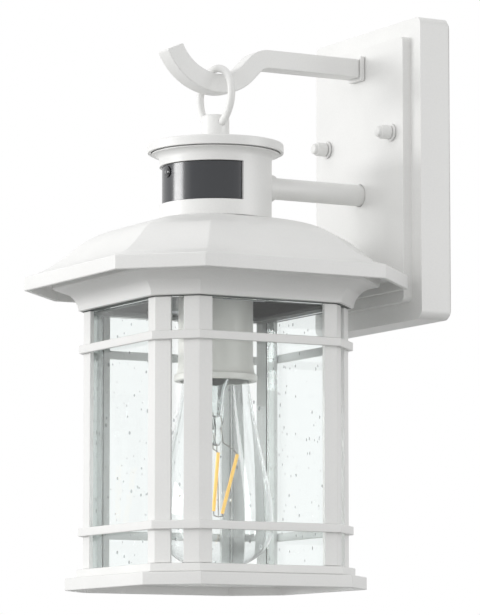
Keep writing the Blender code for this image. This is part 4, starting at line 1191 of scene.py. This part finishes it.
def makeTube():
    rear, front = depthsOf("support_tube")
    outer, inner = tubeShape["radius"], tubeShape["radius"] - tubeShape["wall"]
    profile = [(inner, front), (outer - 0.0003, front), (outer, front + 0.0003)]
    profile += [(outer, rear - 0.0003), (outer - 0.0003, rear), (inner, rear)]
    placed = {"axis": "Y", "centre": (0, 0, tubeHeight)}
    turnPiece("supportTube", "support_tube", profile, 0.0001, 1, **placed)
    rear, front = highOf("tube_collar").y, lowOf("tube_collar").y - 0.002
    outer, inner = tubeShape["collar"], tubeShape["radius"] + tubeShape["collarPlay"]
    profile = [(inner, front), (outer, front), (outer, rear - 0.0007)]
    profile += [(outer - 0.0002, rear - 0.0002), (outer - 0.0007, rear), (inner, rear)]
    piece = turned("tubeCollar", profile, **placed)
    bore(piece, headShape["radius"] + gap, 0.04, "Z", (0, axisY, tubeHeight), 128)
    finishPiece(piece, "tube_collar", 0.0002)


def makeCapNuts():
    # a plain barrel with a stepped nose, over a flat washer
    rear, front = depthsOf("cap_nut_right")
    radius = highOf("cap_nut_right").x - nutSpread
    profile = [(nutBore, rear), (radius - 0.0003, rear), (radius, rear - 0.0003)]
    # over the nose to its middle: in from the radius and behind the front, in tenths of a mm
    nose, tenths = ((0, 31), (4, 24), (9, 22), (10, 9), (13, 4), (20, 1)), 10000
    profile += [(radius - across / tenths, front + behind / tenths) for across, behind in nose]
    profile += [(0, front), (0, front + 0.0018), (nutBore, front + 0.0025)]
    high, low = highOf("nut_washer_right"), lowOf("nut_washer_right")
    rim = (high.x - low.x) / 2
    washer = [(nutBore, high.y), (rim, high.y), (rim, low.y), (nutBore, low.y)]
    for side, sign in (("Left", -1), ("Right", 1)):
        placed = {"steps": 48, "axis": "Y", "centre": (sign * nutSpread, 0, nutHeight)}
        turnPiece("capNut" + side, "cap_nut_" + side.lower(), profile, 0.0001, 1, **placed)
        turnPiece("nutWasher" + side, "nut_washer_" + side.lower(), washer, 0.00025, **placed)


makeBackplate()
makeArm()
makeTube()
makeCapNuts()
print("backplate, arm and tube modelled")


# socket and bulb

socketShape = {
    "radius": 0.0212,
    "lip": 0.0236,
    "lipBore": 0.0202,
    "bore": 0.0152,
    "lipHeight": 0.004,
    "depth": 0.034,
    "nippleBore": 0.003,
}


def makeSocket():
    low, top = heightsOf("socket_body")
    radius, lip, lipBore, inner = (socketShape[key] for key in ("radius", "lip", "lipBore", "bore"))
    lipTop, floor = low + socketShape["lipHeight"], low + socketShape["depth"]
    nipple = socketShape["nippleBore"]
    profile = [(lipBore, low), (lip - 0.0005, low), (lip, low + 0.0005), (lip, lipTop - 0.0006)]
    profile += [(lip - 0.0007, lipTop), (radius + 0.0009, lipTop + 0.0009)]
    profile += [(radius + 0.0003, lipTop + 0.004), (radius, lipTop + 0.012)]
    profile += [(radius, top - 0.0012), (radius - 0.0004, top - 0.0004), (radius - 0.0012, top)]
    profile += [(nipple, top), (nipple, floor), (inner, floor), (inner, lipTop + 0.004)]
    profile.append((lipBore, lipTop))
    turnPiece("socketBody", "socket_body", profile, 0.0002, steps=96)


bulbShape = {
    "length": 0.1084,
    "radius": 0.0328,
    "neck": 0.0187,
    "throat": highOf("bulb_cap").x - 0.0008,
    "inSocket": 0.0062,
    "wall": 0.0004,
    "bellyShare": 0.225,
    "tipSteps": 16,
}
bulbLow = lowOf("bulb_glass").z
capShape = {"wall": 0.0006, "turns": 6, "threadDepth": 0.0004, "stepsPerTurn": 8}


def bulbLine(inward):
    # the outline from the tip up into the cap, moved inward by the glass's thickness
    length, steps = bulbShape["length"], bulbShape["tipSteps"]
    belly, radius = length * bulbShape["bellyShare"], bulbShape["radius"] - inward
    neck, throat = bulbShape["neck"] - inward, bulbShape["throat"] - inward
    points = []
    for step in range(steps + 1):
        angle = math.pi / 2 * step / steps
        height = inward + (belly - inward) * (1 - math.cos(angle))
        points.append((radius * math.sin(angle), height))
    shoulder = [(radius, belly), (radius, belly + 0.026), (neck + 0.004, length * 0.70)]
    points += curveThrough(*shoulder, (neck, length), 24)
    crimp = [(neck, length), (neck - 0.0008, length + 0.0022), (throat + 0.0008, length + 0.0035)]
    return points + curveThrough(*crimp, (throat, length + bulbShape["inSocket"]), 8)


def makeBulb():
    line = [*bulbLine(0), *reversed(bulbLine(bulbShape["wall"]))]
    line = [(across, bulbLow + up) for across, up in line]
    turnPiece("bulbEnvelope", "bulb_glass", line, 0, steps=96, body="bulb")
    # screw cap, its thread pressed as rounded rings
    radius, (low, top) = highOf("bulb_cap").x, heightsOf("bulb_cap")
    wall, depth, perTurn = (capShape[key] for key in ("wall", "threadDepth", "stepsPerTurn"))
    threadLow, threadHigh, steps = low + 0.002, top - 0.0045, capShape["turns"] * perTurn
    inner = radius - wall - 0.0007
    profile = [(inner, low), (radius - 0.0002, low), (radius - 0.0002, threadLow)]
    for step in range(steps + 1):
        height = threadLow + (threadHigh - threadLow) * step / steps
        across = radius - depth - depth * math.cos(2 * math.pi * step / perTurn)
        profile.append((across, height))
    profile += [(radius - 0.0006, top - 0.003), (radius * 0.72, top), (0.0051, top)]
    profile += [(0.0051, top - 2 * wall), (radius * 0.68, top - 2 * wall), (inner, top - 0.0038)]
    turnPiece("screwCap", "bulb_cap", profile, 0.0001, 1, body="bulb")
    rim, dome, (low, top) = 0.0048, 0.0014, heightsOf("bulb_contact")
    profile = [(0, low), (rim, low), (rim, low + 0.002)]
    profile += [*arc((0.0030, top - dome), dome, 20, 90, 6), (0, top)]
    turnPiece("centreContact", "bulb_contact", profile, 0.0001, 1, steps=40, body="bulb")


# radii, and the heights of the stem's ends and of the filaments above the bulb's tip
stemShape = {
    "turn": 60.968,  # direction of the plane of the two filaments
    "flare": 0.0115,
    "foot": -0.2682,
    "top": 0.121,
    "low": 0.0965,
    "wire": 0.00032,
    "stick": 0.00100,
    "stickSteps": 16,
}


def aside(across, height, depth=0.0):
    # a place in the bulb: across in the plane of the filaments, up from the foot and in front
    angle = math.radians(stemShape["turn"])
    side = Vector((math.cos(angle), math.sin(angle), 0))
    front = Vector((math.sin(angle), -math.cos(angle), 0))
    return Vector((0, axisY, stemShape["foot"] + height)) + side * across + front * depth


def roundWire(name, points, radius, finish, *edge, resolution=3):
    # a round wire through a row of points
    startLine(name, points, closed=False)
    piece = roundBar(radius, resolution)
    finishPiece(piece, None, *edge, body="bulb", slot="filament_glass", finish=finish)


def makeFilaments():
    capLow, flare = lowOf("bulb_cap").z, stemShape["flare"]
    top, low = stemShape["foot"] + stemShape["top"], stemShape["foot"] + stemShape["low"]
    # flared glass stem, from the cap down its outside and up its bore
    profile = [(flare, capLow - 0.0006), (flare - 0.0006, capLow - 0.0022)]
    profile += [(0.0075, top + 0.001), (0.0052, top - 0.006), (0.0046, top - 0.012)]
    profile += [(0.0044, low + 0.004), (0.0040, low), (0.0026, low - 0.003)]
    profile += [(0.0022, low - 0.006), (0.0030, low - 0.009), (0.0030, low - 0.0105)]
    profile += [(0.0018, low - 0.013), (0, low - 0.0135), (0, low + 0.003)]
    profile += [(0.0022, low + 0.004), (0.0034, top - 0.012), (0.0040, top - 0.006)]
    profile += [(0.0062, top + 0.001), (flare - 0.0016, capLow - 0.0006)]
    turnPiece("glassStem", "filament_mount", profile, 0, steps=48, body="bulb")
    left = (aside(0.0011, 0.0792, 0.002), aside(-0.0015, 0.0457, 0.001))
    right = (aside(0.0121, 0.0785, -0.002), aside(0.0034, 0.0443, -0.001))
    steps, low = stemShape["stickSteps"], stemShape["low"]
    for name, (high, end) in (("filamentLeft", left), ("filamentRight", right)):
        points = [high + (end - high) / steps * step for step in range(steps + 1)]
        roundWire(name, points, stemShape["stick"], "filamentSleeveGlow", 0.0002, 2, resolution=4)
    wires = {
        "wireLeadLeft": [aside(-0.0019, low + 0.006), aside(-0.0022, low - 0.004)],
        "wireLeadRight": [aside(0.0016, low + 0.006), aside(0.0040, 0.0850)],
        "wireCentre": [aside(0.0002, low - 0.012, 0.0006), aside(0.0010, 0.06, 0.0004)],
        "wireBottom": [left[1], aside(-0.0013, 0.0432), aside(0.0012, 0.0424)],
    }
    wires["wireLeadLeft"] += [aside(-0.0019, 0.0816), left[0]]
    wires["wireLeadRight"] += [aside(0.0095, 0.0812), right[0]]
    wires["wireCentre"].append(aside(0.0012, 0.0430))
    wires["wireBottom"] += [aside(0.0040, 0.0428), right[1]]
    for name, points in wires.items():
        roundWire(name, points, stemShape["wire"], "leadWire", 0)


makeSocket()
makeBulb()
makeFilaments()
print("socket and bulb modelled")


# fittings behind the plate

fitting = {
    "stud": 0.0021,
    "pitch": 0.0008,
    "threadDepth": 0.00035,
    "slotSize": (0.011, 0.01, 0.0044),
    "slotPlaces": (-0.022, 0.0, 0.0275),
    "armScrew": 0.0024,
    "groundScrew": 0.0021,
    "recess": 0.0009,
}


def threadedLine(radius, start, end):
    # points of a rolled thread between two heights
    steps = 4 * max(2, round(abs(end - start) / fitting["pitch"]))
    points = []
    for step in range(steps + 1):
        depth = fitting["threadDepth"] * (0.5 - 0.5 * math.cos(math.pi * step / 2))
        points.append((radius - depth, start + (end - start) * step / steps))
    return points


def makeCrossbar():
    low, high = lowOf("mounting_crossbar"), highOf("mounting_crossbar")
    piece = startBlock("mountingBar", (low + high) / 2, high - low)
    roundEdges((high.z - low.z) / 2 - 0.00005, 12)
    for x in (-nutSpread, nutSpread, midOf("ground_screw", 0)):
        bore(piece, nutBore, 0.01, "Y", (x, 0, 0), 32)

    def slotCutter(x):
        cutter = startBlock("slotCutter", (x, 0, 0), fitting["slotSize"])
        roundEdges(fitting["slotSize"][2] / 2 - 0.00002, 6)
        return cutter

    for x in fitting["slotPlaces"]:
        cutAway(piece, lambda: slotCutter(x))
    finishPiece(piece, "mounting_crossbar", 0.0002)


def makeStuds():
    rear, front = depthsOf("mounting_stud_right")
    radius, head = fitting["stud"], fitting["stud"] * 2
    line = [(0, rear), (head - 0.0004, rear), (head, rear - 0.0004), (head, rear - 0.0012)]
    line += [(head - 0.0004, rear - 0.0016), (radius, rear - 0.0016)]
    line += [*threadedLine(radius, rear - 0.0030, front + 0.0006), (0, front)]
    for side, sign in (("Left", -1), ("Right", 1)):
        placed = {"steps": 28, "axis": "Y", "centre": (sign * nutSpread, 0, nutHeight)}
        turnPiece("mountingStud" + side, "mounting_stud_" + side.lower(), line, 0, **placed)


def crossCutter(centre, length, depth):
    # a cross recess for a driver, cut along Y
    width = fitting["recess"]
    first = startBlock("recessCutter", centre, (length, depth, width))
    second = startBlock("recessArm", centre, (width, depth, length))
    activate(first)
    modify(first, "BOOLEAN", operation="UNION", solver="EXACT", object=second)
    bpy.data.objects.remove(second, do_unlink=True)
    return first


def makeWallScrews():
    # the arm's screw, driven from behind the panel
    rear, front = depthsOf("hook_arm_screw")
    radius, under = fitting["armScrew"], rear - 0.0026
    line = [(0, rear), (0.0018, rear - 0.0001), (0.0036, rear - 0.0007)]
    line += [(0.0046, rear - 0.0015), (0.0048, under), (radius, under)]
    line += threadedLine(radius, under - 0.0008, front + 0.0008)
    line += [(radius * 0.6, front), (0, front)]
    piece = turned("hookArmScrew", line, 32, "Y", (0, 0, armHeight))
    cutAway(piece, lambda: crossCutter((0, rear, armHeight), 0.0048, 0.0024))
    finishPiece(piece, "hook_arm_screw", 0)
    rear, front = depthsOf("ground_screw")
    x, z = midOf("ground_screw", 0), midOf("ground_screw", 2)
    radius, head, face = fitting["groundScrew"], 0.0042, front + 0.0022
    line = [(0, front), (0.0018, front + 0.0002), (0.0034, front + 0.0008)]
    line += [(head, face - 0.0006), (head, face), (radius, face)]
    line += [*threadedLine(radius, face + 0.0002, rear - 0.0002), (0, rear)]
    piece = turned("groundScrew", line, 32, "Y", (x, 0, z))
    cutAway(piece, lambda: crossCutter((x, front, z), 0.0046, 0.0022))
    finishPiece(piece, "ground_screw", 0)


def makeTubeNuts():
    for name, node in (("tubeNutRear", "tube_nut_rear"), ("tubeNutFront", "tube_nut_front")):
        low, high = lowOf(node), highOf(node)
        middle, turn = (0, low.y, tubeHeight), (math.pi / 2, 0, 0)
        shape = {"vertices": 6, "radius": (high.z - low.z) / 2, "fill_type": "NGON"}
        clearSelection()
        bpy.ops.mesh.primitive_circle_add(location=middle, rotation=turn, **shape)
        piece = startPiece(name)
        bpy.ops.mesh.select_all(action="SELECT")
        extrude((0, high.y - low.y, 0))
        bore(piece, tubeBore, 0.01, "Y", middle)
        finishPiece(piece, node)


makeCrossbar()
makeStuds()
makeWallScrews()
makeTubeNuts()
print("fittings behind the plate modelled")
